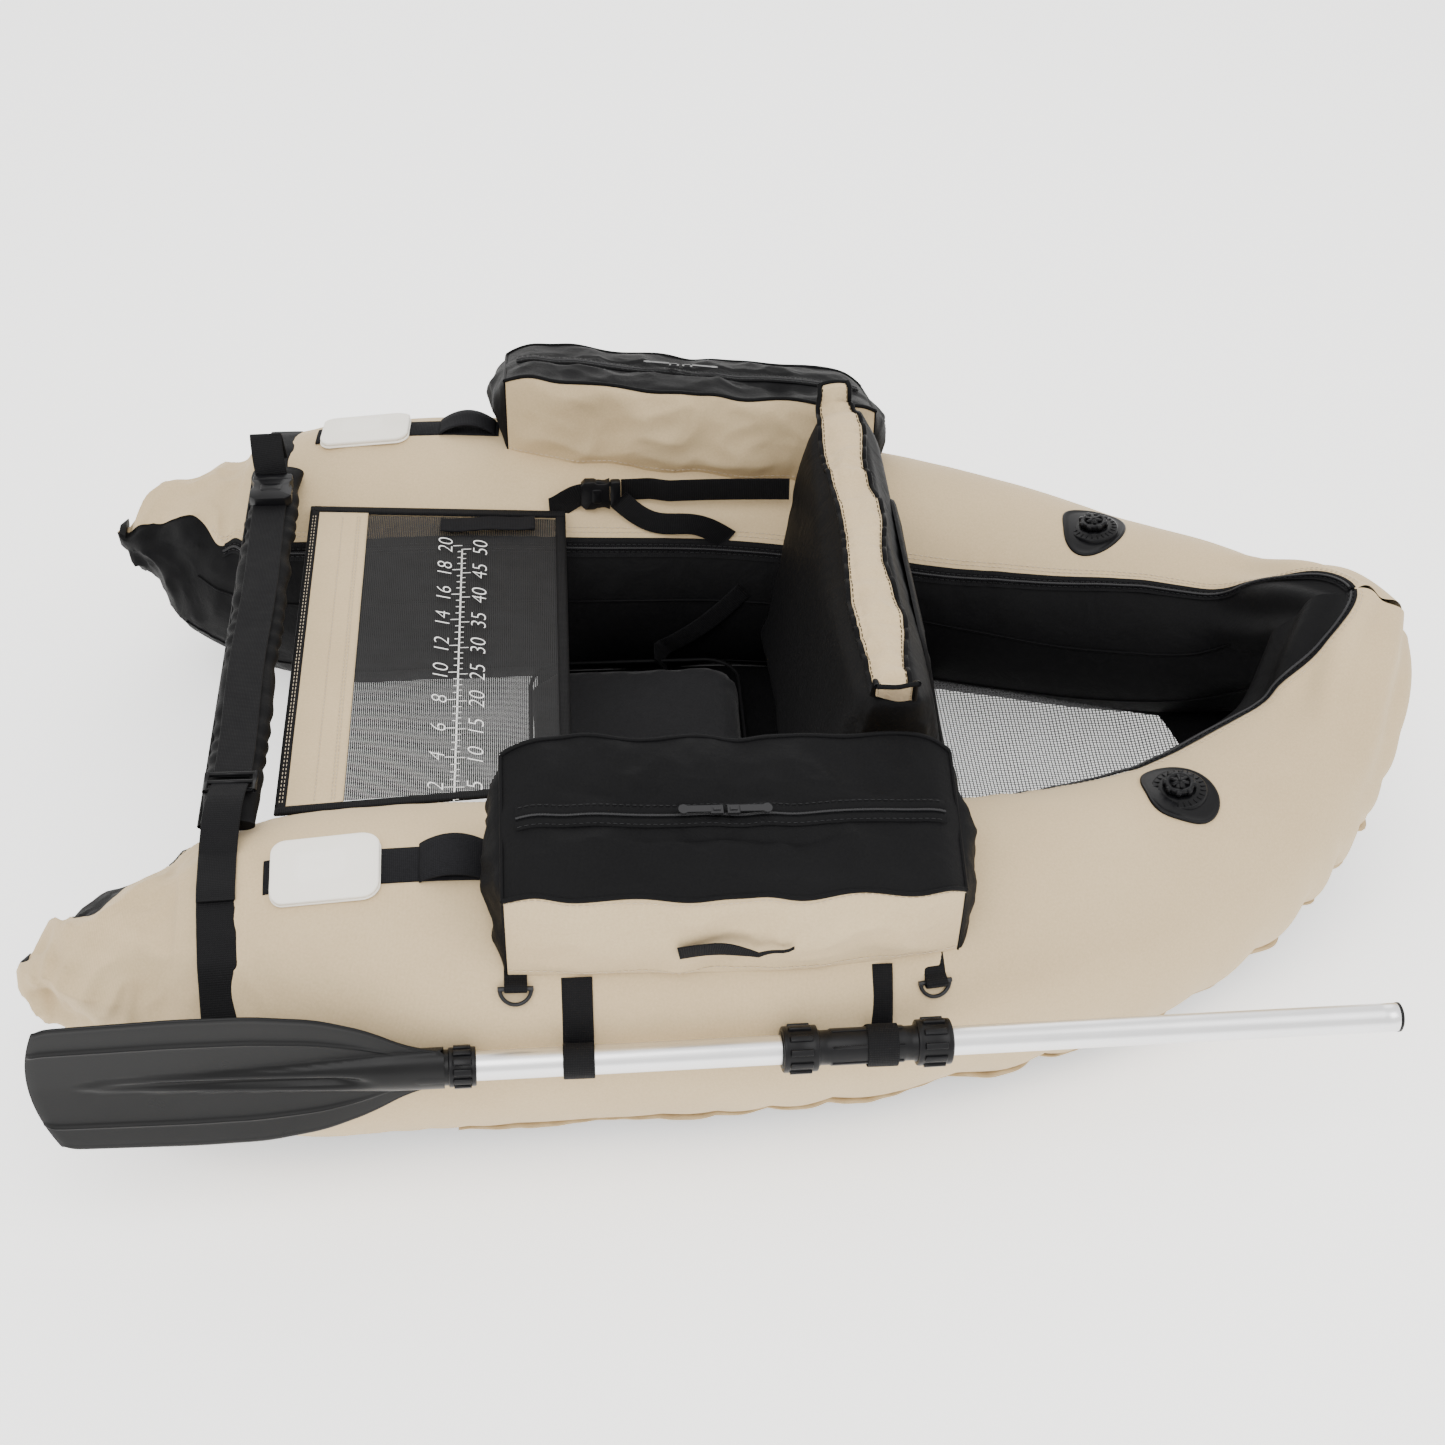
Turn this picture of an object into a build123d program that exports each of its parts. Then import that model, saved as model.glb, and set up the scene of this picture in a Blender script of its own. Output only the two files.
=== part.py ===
from build123d import *
from math import cos, radians, sin, sqrt
import os

# V-shaped inflatable float tube with its paddle, in millimetres.
# +X points to the closed bow, +Y to the angler's right tube, +Z up.
# X = 0 is the middle of the hull and Y = 0 its plane of symmetry; the
# last section shifts everything so that the origin is the centre of the
# bounding box at floor level.
# Everything that sits on a tube is placed by X and by an angle round the
# tube: 0 is its crest, positive outward, negative towards the other tube.

# ---- driving dimensions -------------------------------------------------
SPINE_LENGTH = 1414.0        # tail tip to where the two tubes meet
TAIL_X = -712.0
TUBE_SPACING = 734.0         # between the tube centres at the widest place
TUBE_RADIUS = 162.0          # largest radius over the cover
FLOOR_DIP = 0.8              # flattening of the tubes on a hard floor
COVER_WALL = 1.5
BLADDER_GAP = 0.4
BLADDER_WALL = 0.9
CLEAR = 0.3                  # between sewn or stacked pieces
SEAM_GAP = 0.3               # between the two hull halves at the bow

TOP_INNER_ANGLE = -51.0      # lower edges of the top fabric
TOP_OUTER_ANGLE = 138.0
ANGLE_GAP = 0.15
ZIP_WIDTH_ANGLE = 6.0
ZIP_HEIGHT = 2.4

WEBBING = 1.6                # thickness of every strap
WIDE_WEB = 38.0
NARROW_WEB = 30.0

# bags
BAG_START = -238.0
BAG_END = 200.0
BAG_WIDTH = 170.0
BAG_INSET = 31.0
BAG_HEIGHT = 108.0
BAG_DROP = 52.0
BAG_SEAM_ANGLE = 50.0
BAG_WALL = 3.0
BAG_LID = 2.5
BAG_ZIP_WIDTH = 28.0
BAG_SLIDER_X = -28.0

# seat and backrest
SEAT_FRONT = -232.0
SEAT_REAR = 44.0
SEAT_TOP = 114.0
SEAT_THICKNESS = 50.0
SIDE_CLEARANCE = 14.0
SLING_THICKNESS = 2.0
BACK_X = 48.0
BACK_BASE = 142.0
BACK_TOP = 430.0
BACK_BASE_DEPTH = 190.0
BACK_RIDGE_X = 127.0
BACK_RIDGE_DEPTH = 54.0
BACK_HALF_TOP = 288.0
BACK_SIDE_GAP = 2.6
GUSSET_WALL = 2.0
BACK_STRAP_Y = 264.0
BACK_STRAP_Z = 306.0
BACK_STRAP_START = -186.0
BACK_BUCKLE_X = -118.0

# cargo floor in the bow
BOW_FLOOR_START = 262.0
BOW_FLOOR_END = 560.0
BOW_FLOOR_Z = 64.0
MESH_WALL = 2.0

# stripping apron
APRON_FRONT = -470.0
APRON_REAR = -172.0
APRON_HALF_FRONT = 276.0
APRON_HALF_REAR = 252.0
APRON_WALL = 1.6
APRON_BAND = 62.0
BINDING = 12.0

# stabilizer bar across the open end
BAR_X = -510.0
BAR_HALF = 316.0
BAR_RADIUS = 11.0
SLEEVE_HALF_WIDTH = 27.0
SLEEVE_WALL = 1.5
BAR_BUCKLE_Y = 264.0
GLIDE_Y = -262.0

# fittings on the tubes
D_RING_X = (-230.0, 176.0)
D_RING_ANGLE = (54.0, 61.0)
D_RING_RADIUS = 15.0
D_RING_WIRE = 2.0
D_BAR_RADIUS = 2.4
VALVE_X = 462.0
VALVE_ANGLE = 0.0
VALVE_FLANGE_RADIUS = 29.0
VALVE_PATCH_RADIUS = 46.0
VALVE_CAP_RADIUS = 17.0
PAD_X = -414.0
PAD_ANGLE = 9.0
PAD_LENGTH = 108.0
PAD_WIDTH = 76.0
PAD_THICKNESS = 8.0
STRIP_START = -476.0
STRIP_END = -262.0
STRIP_HALF_ANGLE = 7.0

# paddle on the left tube
SHAFT_RADIUS = 14.2
SHAFT_WALL = 1.2
PADDLE_NECK_AT = (-289.0, 203.0)     # X and Z
PADDLE_END_AT = (636.0, 175.0)
PADDLE_BESIDE_X = 75.0               # where the paddle passes closest to the tube
PADDLE_NECK_GAP = 20.095             # outwards from the tube's side to a collar's
PADDLE_END_GAP = -23.905
COUPLING_START = 306.0       # along the paddle from the neck
COUPLING_LENGTH = 174.0
COUPLING_RADIUS = SHAFT_RADIUS + 3.8
COLLAR_RADIUS = COUPLING_RADIUS + 6.5
COLLAR_LENGTH = 34.0
BLADE_LENGTH = 374.0
BLADE_WIDTH = 172.0
BLADE_THICKNESS = 5.0
OAR_STRAP_AT = (117.0, 408.0)

# ---- the tube's stations ------------------------------------------------
# share of the spine's length, share of half the spacing, radius and height
# of the centre as shares of the largest radius
STATIONS = (
    (0.000, 1.041, 0.111, 1.160),
    (0.040, 1.038, 0.444, 1.123),
    (0.096, 1.022, 0.765, 0.988),
    (0.164, 1.008, 0.957, 0.969),
    (0.266, 1.000, 1.000, 1.000),
    (0.398, 0.992, 0.969, 0.969),
    (0.526, 0.984, 0.926, 0.926),
    (0.645, 0.913, 0.877, 0.877),
    (0.762, 0.785, 0.809, 0.809),
    (0.836, 0.646, 0.741, 0.821),
    (0.900, 0.485, 0.667, 0.944),
    (0.956, 0.300, 0.543, 1.154),
    (0.987, 0.104, 0.481, 1.481),
    (1.000, -0.068, 0.444, 1.617),
)
LAST = len(STATIONS) - 1
UP = Vector(0, 0, 1)
ON_FOOT = (Align.CENTER, Align.CENTER, Align.MIN)

CENTRES = [
    Vector(
        TAIL_X + along * SPINE_LENGTH,
        spread * TUBE_SPACING / 2,
        rise * TUBE_RADIUS - FLOOR_DIP,
    )
    for along, spread, radius, rise in STATIONS
]
RADII = [radius * TUBE_RADIUS for along, spread, radius, rise in STATIONS]
TANGENTS = [
    (CENTRES[min(i + 1, LAST)] - CENTRES[max(i - 1, 0)]).normalized()
    for i in range(LAST + 1)
]
SIDES = [UP.cross(tangent).normalized() for tangent in TANGENTS]
UPS = [tangent.cross(side) for tangent, side in zip(TANGENTS, SIDES)]


def ring_point(i, angle, lift=0.0):
    """Point on station i, at an angle from the crest, outside the cover."""
    a = radians(angle)
    return CENTRES[i] + (UPS[i] * cos(a) + SIDES[i] * sin(a)) * (RADII[i] + lift)


def skin(x, angle, lift=0.0):
    """Plane on the right tube: X along the tube, Y round it, Z outward."""
    for i in range(LAST):
        a = ring_point(i, angle, lift)
        b = ring_point(i + 1, angle, lift)
        if x <= b.X or i == LAST - 1:
            break
    share = (x - a.X) / (b.X - a.X)
    point = a + (b - a) * share
    centre = CENTRES[i] + (CENTRES[i + 1] - CENTRES[i]) * share
    along = (b - a).normalized()
    out = point - centre
    out = out - along * out.dot(along)
    return Plane(origin=point, x_dir=along, z_dir=out.normalized())


def tube_at(x):
    """Centre Y and Z and radius of the right tube at X."""
    for i in range(LAST):
        if x <= CENTRES[i + 1].X:
            break
    share = (x - CENTRES[i].X) / (CENTRES[i + 1].X - CENTRES[i].X)
    centre = CENTRES[i] + (CENTRES[i + 1] - CENTRES[i]) * share
    return centre.Y, centre.Z, RADII[i] + (RADII[i + 1] - RADII[i]) * share


def gap_half_width(x, z):
    """Half the free width between the tubes at X and height Z."""
    y, centre_z, radius = tube_at(x)
    rise = abs(z - centre_z)
    if rise >= radius:
        return y
    return y - sqrt(radius ** 2 - rise ** 2)


def surface_z(x, y):
    """Height of the right tube's upper surface over a floor point."""
    centre_y, centre_z, radius = tube_at(x)
    return centre_z + sqrt(radius ** 2 - (y - centre_y) ** 2)


def span(x0, x1):
    """First and last station whose stretch covers X0 to X1."""
    first = max(i for i in range(LAST + 1) if i == 0 or CENTRES[i].X < x0 - 60)
    last = min(i for i in range(LAST + 1) if i == LAST or CENTRES[i].X > x1 + 60)
    return first, last


def band(low, high, angle0, angle1, first=0, last=LAST):
    """Strip of the tube between two angles and two heights over the cover."""
    middle = (angle0 + angle1) / 2
    faces = []
    for i in range(first, last + 1):
        corner = [
            ring_point(i, angle0, high),
            ring_point(i, angle1, high),
            ring_point(i, angle1, low),
            ring_point(i, angle0, low),
        ]
        edges = [
            ThreePointArc(corner[0], ring_point(i, middle, high), corner[1]),
            Line(corner[1], corner[2]),
            ThreePointArc(corner[2], ring_point(i, middle, low), corner[3]),
            Line(corner[3], corner[0]),
        ]
        faces.append(Face(Wire(edges)))
    return loft(faces, ruled=True)


def tube(lift, first=0, last=LAST):
    """Solid tube, its radius larger than the cover by lift."""
    faces = []
    for i in range(first, last + 1):
        plane = Plane(origin=CENTRES[i], x_dir=SIDES[i], z_dir=TANGENTS[i])
        faces.append(plane * Circle(RADII[i] + lift))
    return loft(faces, ruled=True)


def block(x0, x1, y0, y1, z0, z1):
    """Box between two corners."""
    size = Box(x1 - x0, y1 - y0, z1 - z0)
    return Pos((x0 + x1) / 2, (y0 + y1) / 2, (z0 + z1) / 2) * size


def patch(low, high, angle0, angle1, x0, x1):
    """Piece of a band between two planes of constant X."""
    first, last = span(x0, x1)
    reach = 2 * TUBE_SPACING
    return band(low, high, angle0, angle1, first, last) & block(x0, x1, -reach, reach, -reach, reach)


def section(x, points):
    """Flat face across the hull at X, from (Y, Z) corners."""
    corners = [Vector(x, y, z) for y, z in points]
    return Face(Wire.make_polygon(corners, close=True))


def flipped(shape):
    """The same piece on the left tube."""
    return mirror(shape, about=Plane.XZ)


def solids_of(*shapes):
    """One group of separate solids."""
    return Compound(children=[solid for shape in shapes for solid in shape.solids()])


nodes = {}


def both_sides(name, shape):
    """Store a right-hand piece and its mirror image as two nodes."""
    nodes["right_" + name] = shape
    nodes["left_" + name] = flipped(shape)


# ---- hull: bladders, covers, zipper, tail panels -------------------------
FAR = 3 * SPINE_LENGTH
half_room = block(-FAR, FAR, SEAM_GAP / 2, FAR, 0, FAR)

bladder_lift = -COVER_WALL - BLADDER_GAP
bladder = tube(bladder_lift) - tube(bladder_lift - BLADDER_WALL, 1, LAST)
bladder = bladder & half_room
nodes["bladders"] = solids_of(bladder, flipped(bladder))

top = band(-COVER_WALL, 0, TOP_INNER_ANGLE + ANGLE_GAP, TOP_OUTER_ANGLE - ANGLE_GAP)
both_sides("cover_top", top & half_room)

base = band(-COVER_WALL, 0, TOP_OUTER_ANGLE, 360 + TOP_INNER_ANGLE)
both_sides("cover_base", base & half_room)

zip_low = TOP_INNER_ANGLE - ZIP_WIDTH_ANGLE
hull_zip = band(CLEAR, CLEAR + ZIP_HEIGHT, zip_low, TOP_INNER_ANGLE, 2, LAST) & half_room
nodes["hull_zipper"] = solids_of(hull_zip, flipped(hull_zip))


def tail_panel():
    """Closing panel of the tapered tail."""
    tail = Plane(origin=CENTRES[0], x_dir=SIDES[0], z_dir=TANGENTS[0] * -1)
    wide = tail.offset(CLEAR) * Circle(RADII[0])
    narrow = tail.offset(9.0) * Circle(RADII[0] * 0.55)
    return loft([wide, narrow], ruled=True)


nodes["tail_panels"] = solids_of(tail_panel(), flipped(tail_panel()))

# ---- seat ----------------------------------------------------------------
seat_base = SEAT_TOP - SEAT_THICKNESS
seat_half = gap_half_width(SEAT_REAR, SEAT_TOP) - SIDE_CLEARANCE
seat = block(SEAT_FRONT, SEAT_REAR, -seat_half, seat_half, seat_base, SEAT_TOP)
nodes["seat_cushion"] = fillet(seat.edges().filter_by(Axis.Z), 24.0)

sling_top = seat_base - CLEAR
sling_reach = gap_half_width(SEAT_FRONT, sling_top) + 60
sling = block(
    SEAT_FRONT + 20, SEAT_REAR - 20, -sling_reach, sling_reach, sling_top - SLING_THICKNESS, sling_top
)
hull_clear = tube(CLEAR, *span(SEAT_FRONT, SEAT_REAR))
nodes["seat_sling"] = sling - hull_clear - flipped(hull_clear)


def seat_strap():
    """Webbing from the seat's rear corner up to the tube beside the backrest."""
    x0, x1 = SEAT_REAR - 92, SEAT_REAR - 2
    z0, z1 = SEAT_TOP + 6, SEAT_TOP + 74
    y0 = gap_half_width(x0, z0) - 4
    y1 = gap_half_width(x1, z1) - 4
    foot = Vector(x0, y0, z0)
    head = Vector(x1, y1, z1)
    run = (head - foot).normalized()
    plane = Plane(origin=foot + (head - foot) * 0.5, x_dir=run, z_dir=Vector(0, 1, 0).cross(run).cross(run))
    strap = plane * Box((head - foot).length, NARROW_WEB * 0.8, WEBBING)
    return strap - tube(CLEAR, *span(x0, x1))


strap_piece = seat_strap()
nodes["seat_straps"] = solids_of(strap_piece, flipped(strap_piece))

# ---- backrest --------------------------------------------------------------
ridge_end = BACK_RIDGE_X + BACK_RIDGE_DEPTH
base_end = BACK_X + BACK_BASE_DEPTH
core_top = BACK_TOP - GUSSET_WALL - CLEAR
base_half = gap_half_width(base_end, tube_at(base_end)[1]) - BACK_SIDE_GAP
wedge_points = [
    (BACK_X, BACK_BASE),
    (base_end, BACK_BASE),
    (ridge_end, core_top),
    (BACK_RIDGE_X, core_top),
]


def wedge(points, half):
    """Solid of an (X, Z) outline, from -half to +half in Y."""
    outline = Plane.XZ * make_face(Polyline(*points, close=True))
    return extrude(outline, half, both=True)


def back_outline():
    """Outline across the hull that keeps the backrest clear of both tubes."""
    shoulder = tube_at(BACK_X)[1] + tube_at(BACK_X)[2]
    half_points = [
        (base_half, BACK_BASE - 10),
        (base_half, BACK_BASE + 50),
        (base_half + 24, BACK_BASE + 84),
        (BACK_HALF_TOP - 40, shoulder),
        (BACK_HALF_TOP - 8, shoulder + 28),
        (BACK_HALF_TOP, BACK_TOP + 10),
    ]
    points = half_points + [(-y, z) for y, z in reversed(half_points)]
    outline = Plane.YZ * make_face(Polyline(*points, close=True))
    return extrude(outline, FAR, both=True)


back_room = back_outline()
back_core = wedge(wedge_points, BACK_HALF_TOP) & back_room
nodes["backrest_cushion"] = back_core

gusset = block(
    BACK_RIDGE_X, ridge_end, -BACK_HALF_TOP, BACK_HALF_TOP, BACK_TOP - GUSSET_WALL, BACK_TOP
)
nodes["backrest_gusset"] = gusset

rear_slope = Vector(base_end - ridge_end, 0, BACK_BASE - core_top).normalized()
rear_normal = Vector(-rear_slope.Z, 0, rear_slope.X)
REAR_MIDDLE = Vector((base_end + ridge_end) / 2, 0, (BACK_BASE + core_top) / 2)
rear_plane = Plane(origin=REAR_MIDDLE, x_dir=Vector(0, 1, 0), z_dir=rear_normal)
POCKET_HALF = 150.0
POCKET_HEIGHT = 190.0
POCKET_WALL = 2.0
pocket = rear_plane.offset(CLEAR + POCKET_WALL / 2) * Box(2 * POCKET_HALF, POCKET_HEIGHT, POCKET_WALL)
pocket = fillet(pocket.edges().filter_by(Axis(REAR_MIDDLE, rear_normal)), 30.0)

POCKET_ZIP_UP = -60.0
pocket_face = rear_plane.offset(CLEAR + POCKET_WALL)
pocket_zip_plane = Plane(
    origin=pocket_face.origin + pocket_face.y_dir * POCKET_ZIP_UP,
    x_dir=pocket_face.x_dir,
    z_dir=pocket_face.z_dir,
)
ZIP_TAPE = 0.8
ZIP_COIL = 2.0
tape = pocket_zip_plane.offset(CLEAR + ZIP_TAPE / 2) * Box(2 * POCKET_HALF - 70, 24.0, ZIP_TAPE)
coil = pocket_zip_plane.offset(CLEAR + ZIP_TAPE + ZIP_COIL / 2) * Box(2 * POCKET_HALF - 74, 5.0, ZIP_COIL)
nodes["backrest_pocket"] = solids_of(pocket, tape + coil)


def slider(plane, direction):
    """Zipper slider with its pull, standing on a plane over the coil."""
    body = plane.offset(2.0) * Box(12.0, 9.0, 4.0)
    bridge = plane.offset(4.6) * Box(7.0, 3.0, 1.6)
    pull = plane.offset(4.6) * (Pos(direction * 19.0, 0, 0) * Box(26.0, 7.0, 1.6))
    end = plane.offset(3.8) * (Pos(direction * 32.0, 0, 0) * Cylinder(5.0, 1.6, align=ON_FOOT))
    return body + bridge + pull + end


SLIDER_GAP = 8.0
slider_height = CLEAR + ZIP_TAPE + ZIP_COIL + CLEAR
for label, direction in (("left", -1), ("right", 1)):
    plane = pocket_zip_plane.offset(slider_height)
    home = Plane(
        origin=plane.origin + plane.x_dir * direction * SLIDER_GAP, x_dir=plane.x_dir, z_dir=plane.z_dir
    )
    nodes["pocket_slider_" + label] = slider(home, direction)

# ---- backrest straps -------------------------------------------------------
BUCKLE_LENGTH = 34.0
BUCKLE_HEIGHT = 38.0
BUCKLE_DEPTH = 11.0
TONGUE = 20.0


def buckle(width, height, depth, tongue):
    """Female and male halves of a side-release buckle along +X, mouth at X = 0."""
    shell = block(-width, 0, -depth / 2, depth / 2, -height / 2, height / 2)
    mouth = block(-tongue - 4, 1, -depth / 2 + 2, depth / 2 - 2, -height / 2 + 3, height / 2 - 3)
    female = shell - mouth
    head = block(CLEAR, 12, -depth / 2 + 1, depth / 2 - 1, -height / 2 + 1, height / 2 - 1)
    prong = block(-tongue, 1, -depth / 2 + 2.6, depth / 2 - 2.6, -height / 2 + 3.6, height / 2 - 3.6)
    slot = block(-tongue + 5, -2, -depth, depth, -height / 5, height / 5)
    male = head + (prong - slot)
    return female, male


strap_female, strap_male = buckle(BUCKLE_LENGTH, BUCKLE_HEIGHT, BUCKLE_DEPTH, TONGUE)
strap_spot = Pos(BACK_BUCKLE_X, BACK_STRAP_Y, BACK_STRAP_Z)
nodes["back_buckle_females"] = solids_of(strap_spot * strap_female, flipped(strap_spot * strap_female))
both_sides("back_buckle_male", strap_spot * strap_male)

front_slope = (BACK_RIDGE_X - BACK_X) / (BACK_TOP - BACK_BASE)
web_z0 = BACK_STRAP_Z - NARROW_WEB / 2
web_z1 = BACK_STRAP_Z + NARROW_WEB / 2
strap_end = BACK_X + front_slope * (web_z0 - BACK_BASE) - 0.6
web_y0 = BACK_STRAP_Y - WEBBING / 2
web_y1 = BACK_STRAP_Y + WEBBING / 2
hull_web = block(
    BACK_STRAP_START, BACK_BUCKLE_X - BUCKLE_LENGTH - CLEAR, web_y0, web_y1, web_z0, web_z1
)
anchor = Pos(BACK_STRAP_START + 8, BACK_STRAP_Y, BACK_STRAP_Z - 14) * Box(16.0, WEBBING, 52.0)
anchor = anchor - tube(CLEAR, *span(BACK_STRAP_START, BACK_BUCKLE_X))
back_web = block(BACK_BUCKLE_X + 12 + CLEAR, strap_end, web_y0, web_y1, web_z0, web_z1)
right_web = [hull_web + anchor, back_web]
nodes["back_straps"] = solids_of(*right_web, *[flipped(piece) for piece in right_web])

# ---- bags ------------------------------------------------------------------


def bag_corners(x, inset=0.0, rise=0.0):
    """Inner top, outer top, outer foot and inner foot of a bag at X."""
    share = (x - BAG_START) / (BAG_END - BAG_START)
    y0, z0, radius0 = tube_at(BAG_START)
    y1, z1, radius1 = tube_at(BAG_END)
    y = y0 + (y1 - y0) * share
    crest = z0 + radius0 + (z1 + radius1 - z0 - radius0) * share
    inner_y = y - BAG_INSET + inset
    outer_y = y - BAG_INSET + BAG_WIDTH - inset
    foot = skin(x, BAG_SEAM_ANGLE, -9.0).origin
    inner_foot = crest - 30.0
    return [
        (inner_y, crest + BAG_HEIGHT + rise),
        (outer_y, crest + BAG_HEIGHT - BAG_DROP + rise),
        (foot.Y - inset, foot.Z),
        (inner_y, inner_foot),
    ]


def bag_stops(inset):
    """X of the bag's sections, at its ends and at each station between."""
    start = BAG_START + inset
    end = BAG_END - inset
    between = [centre.X for centre in CENTRES if start + 5 < centre.X < end - 5]
    return [start] + between + [end]


bag_outer = loft([section(x, bag_corners(x)) for x in bag_stops(0)], ruled=True)
bag_inner = loft(
    [section(x, bag_corners(x, BAG_WALL, 0.0)) for x in bag_stops(BAG_WALL)], ruled=True
)
bag_mouth = loft(
    [
        section(
            x,
            bag_corners(x, BAG_WALL, 30.0)[:2]
            + [(y, z - 30.0) for y, z in reversed(bag_corners(x, BAG_WALL, 0.0)[:2])],
        )
        for x in bag_stops(BAG_WALL)
    ],
    ruled=True,
)
bag_span = span(BAG_START, BAG_END)
bag_hollow = bag_inner - tube(CLEAR + BAG_WALL, *bag_span)
bag_body = bag_outer - bag_hollow - bag_mouth - tube(CLEAR, *bag_span)
both_sides("bag_body", bag_body)


def lid_plane(x, lift):
    """Plane on the middle of the bag's top: X along it, Z off it."""
    inner = [Vector(at, *bag_corners(at)[0]) for at in (BAG_START, BAG_END)]
    outer = [Vector(at, *bag_corners(at)[1]) for at in (BAG_START, BAG_END)]
    front = (inner[0] + outer[0]) * 0.5
    back = (inner[1] + outer[1]) * 0.5
    along = (back - front).normalized()
    across = outer[0] - inner[0]
    normal = along.cross(across).normalized()
    share = (x - BAG_START) / (BAG_END - BAG_START)
    return Plane(origin=front + (back - front) * share + normal * lift, x_dir=along, z_dir=normal)


def lid_section(x, low, high):
    """Cross-section of the lid at X between two heights over the bag's rim."""
    inner, outer = bag_corners(x)[:2]
    return section(
        x,
        [
            (inner[0], inner[1] + low),
            (outer[0], outer[1] + low),
            (outer[0], outer[1] + high),
            (inner[0], inner[1] + high),
        ],
    )


lid_low = CLEAR
lid_high = CLEAR + BAG_LID
bag_lid = loft([lid_section(x, lid_low, lid_high) for x in bag_stops(0)], ruled=True)
both_sides("bag_lid", bag_lid)

zip_base = lid_high + CLEAR
zip_length = BAG_END - BAG_START - 30
zip_middle = (BAG_START + BAG_END) / 2
bag_tape = lid_plane(zip_middle, zip_base + ZIP_TAPE / 2) * Box(zip_length, BAG_ZIP_WIDTH, ZIP_TAPE)
bag_coil = lid_plane(zip_middle, zip_base + ZIP_TAPE + ZIP_COIL / 2) * Box(zip_length - 6, 5.0, ZIP_COIL)
bag_zip = bag_tape + bag_coil
nodes["bag_zippers"] = solids_of(bag_zip, flipped(bag_zip))

for label, direction in (("front", -1), ("rear", 1)):
    home = lid_plane(BAG_SLIDER_X + direction * SLIDER_GAP, zip_base + ZIP_TAPE + ZIP_COIL + CLEAR)
    both_sides("bag_slider_" + label, slider(home, direction))

# ---- D-rings and their tabs --------------------------------------------------
tab_shapes = []
for label, x, angle in zip(("front", "rear"), D_RING_X, D_RING_ANGLE):
    bar_lift = CLEAR + 2 * WEBBING + D_BAR_RADIUS
    seat_plane = skin(x, angle, bar_lift)
    bar = seat_plane * (Rot(0, 90, 0) * Cylinder(D_BAR_RADIUS, 2 * (D_RING_RADIUS + D_RING_WIRE)))
    bow = seat_plane * Torus(D_RING_RADIUS, D_RING_WIRE)
    half = seat_plane * (Pos(0, 50, 0) * Box(100, 100, 40))
    both_sides("d_ring_" + label, bar + (bow & half))
    loop = Cylinder(D_BAR_RADIUS + CLEAR + WEBBING, 22.0) - Cylinder(D_BAR_RADIUS + CLEAR, 24.0)
    wrap = seat_plane * (Rot(0, 90, 0) * loop)
    foot = patch(CLEAR, CLEAR + WEBBING, angle - 1.0, angle + 7.0, x - 11, x + 11)
    tab_shapes.append((wrap - tube(CLEAR, *span(x, x))) + foot)
nodes["d_ring_tabs"] = solids_of(*tab_shapes, *[flipped(tab) for tab in tab_shapes])

# ---- valves ----------------------------------------------------------------
valve_plane = skin(VALVE_X, VALVE_ANGLE, 0)
valve_span = span(VALVE_X - 60, VALVE_X + 60)
valve_patch_shell = band(CLEAR, CLEAR + 1.2, -70, 70, *valve_span)
valve_patch = valve_patch_shell & (valve_plane * Cylinder(VALVE_PATCH_RADIUS, 120.0))
nodes["valve_patches"] = solids_of(valve_patch, flipped(valve_patch))
flange_foot = 2.2
valve_top = 7.0
flange = valve_plane * (
    Pos(0, 0, -8) * Cylinder(VALVE_FLANGE_RADIUS, valve_top + 8, align=ON_FOOT)
)
valve_bore = valve_plane * Cylinder(VALVE_CAP_RADIUS - 5, 60.0)
valve_body = flange - tube(flange_foot, *valve_span) - valve_bore
nodes["valve_bodies"] = solids_of(valve_body, flipped(valve_body))
cap = valve_plane * (
    Pos(0, 0, valve_top + CLEAR) * Cylinder(VALVE_CAP_RADIUS, 7.0, align=ON_FOOT)
)
stem = valve_plane * (
    Pos(0, 0, valve_top - 3) * Cylinder(VALVE_CAP_RADIUS - 5.4, 5.0, align=ON_FOOT)
)
both_sides("valve_cap", cap + stem)

# ---- fly pads and hook-and-loop strips ---------------------------------------
STRIP_WALL = 1.6
strip = patch(
    CLEAR, CLEAR + STRIP_WALL,
    PAD_ANGLE - STRIP_HALF_ANGLE, PAD_ANGLE + STRIP_HALF_ANGLE,
    STRIP_START, STRIP_END,
)
nodes["fly_strips"] = solids_of(strip, flipped(strip))
pad_plane = skin(PAD_X, PAD_ANGLE, 0)
pad_block = pad_plane * (Pos(0, 0, 4) * Box(PAD_LENGTH, PAD_WIDTH, 2 * PAD_THICKNESS))
pad_block = fillet(pad_block.edges().filter_by(Axis((0, 0, 0), pad_plane.z_dir)), 16.0)
pad_low = CLEAR + STRIP_WALL + CLEAR
pad_shell = band(pad_low, pad_low + PAD_THICKNESS, -40, 60, *span(PAD_X - 70, PAD_X + 70))
both_sides("fly_pad", pad_shell & pad_block)

# ---- apron -------------------------------------------------------------------
def apron_half(x, inset=0.0):
    """Half the apron's width at X."""
    share = (x - APRON_FRONT) / (APRON_REAR - APRON_FRONT)
    return APRON_HALF_FRONT + (APRON_HALF_REAR - APRON_HALF_FRONT) * share - inset


APRON_REST_X = CENTRES[4].X
APRON_Z = surface_z(APRON_REST_X, apron_half(APRON_REST_X)) + 0.6


def apron_strip(x0, x1, inset, low, high):
    """Flat piece of the apron's trapezoid between two X."""
    near, far = apron_half(x0, inset), apron_half(x1, inset)
    points = [(x0, -near), (x1, -far), (x1, far), (x0, near)]
    face = Plane.XY.offset(APRON_Z + low) * make_face(Polyline(*points, close=True))
    return extrude(face, high - low)


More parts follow.
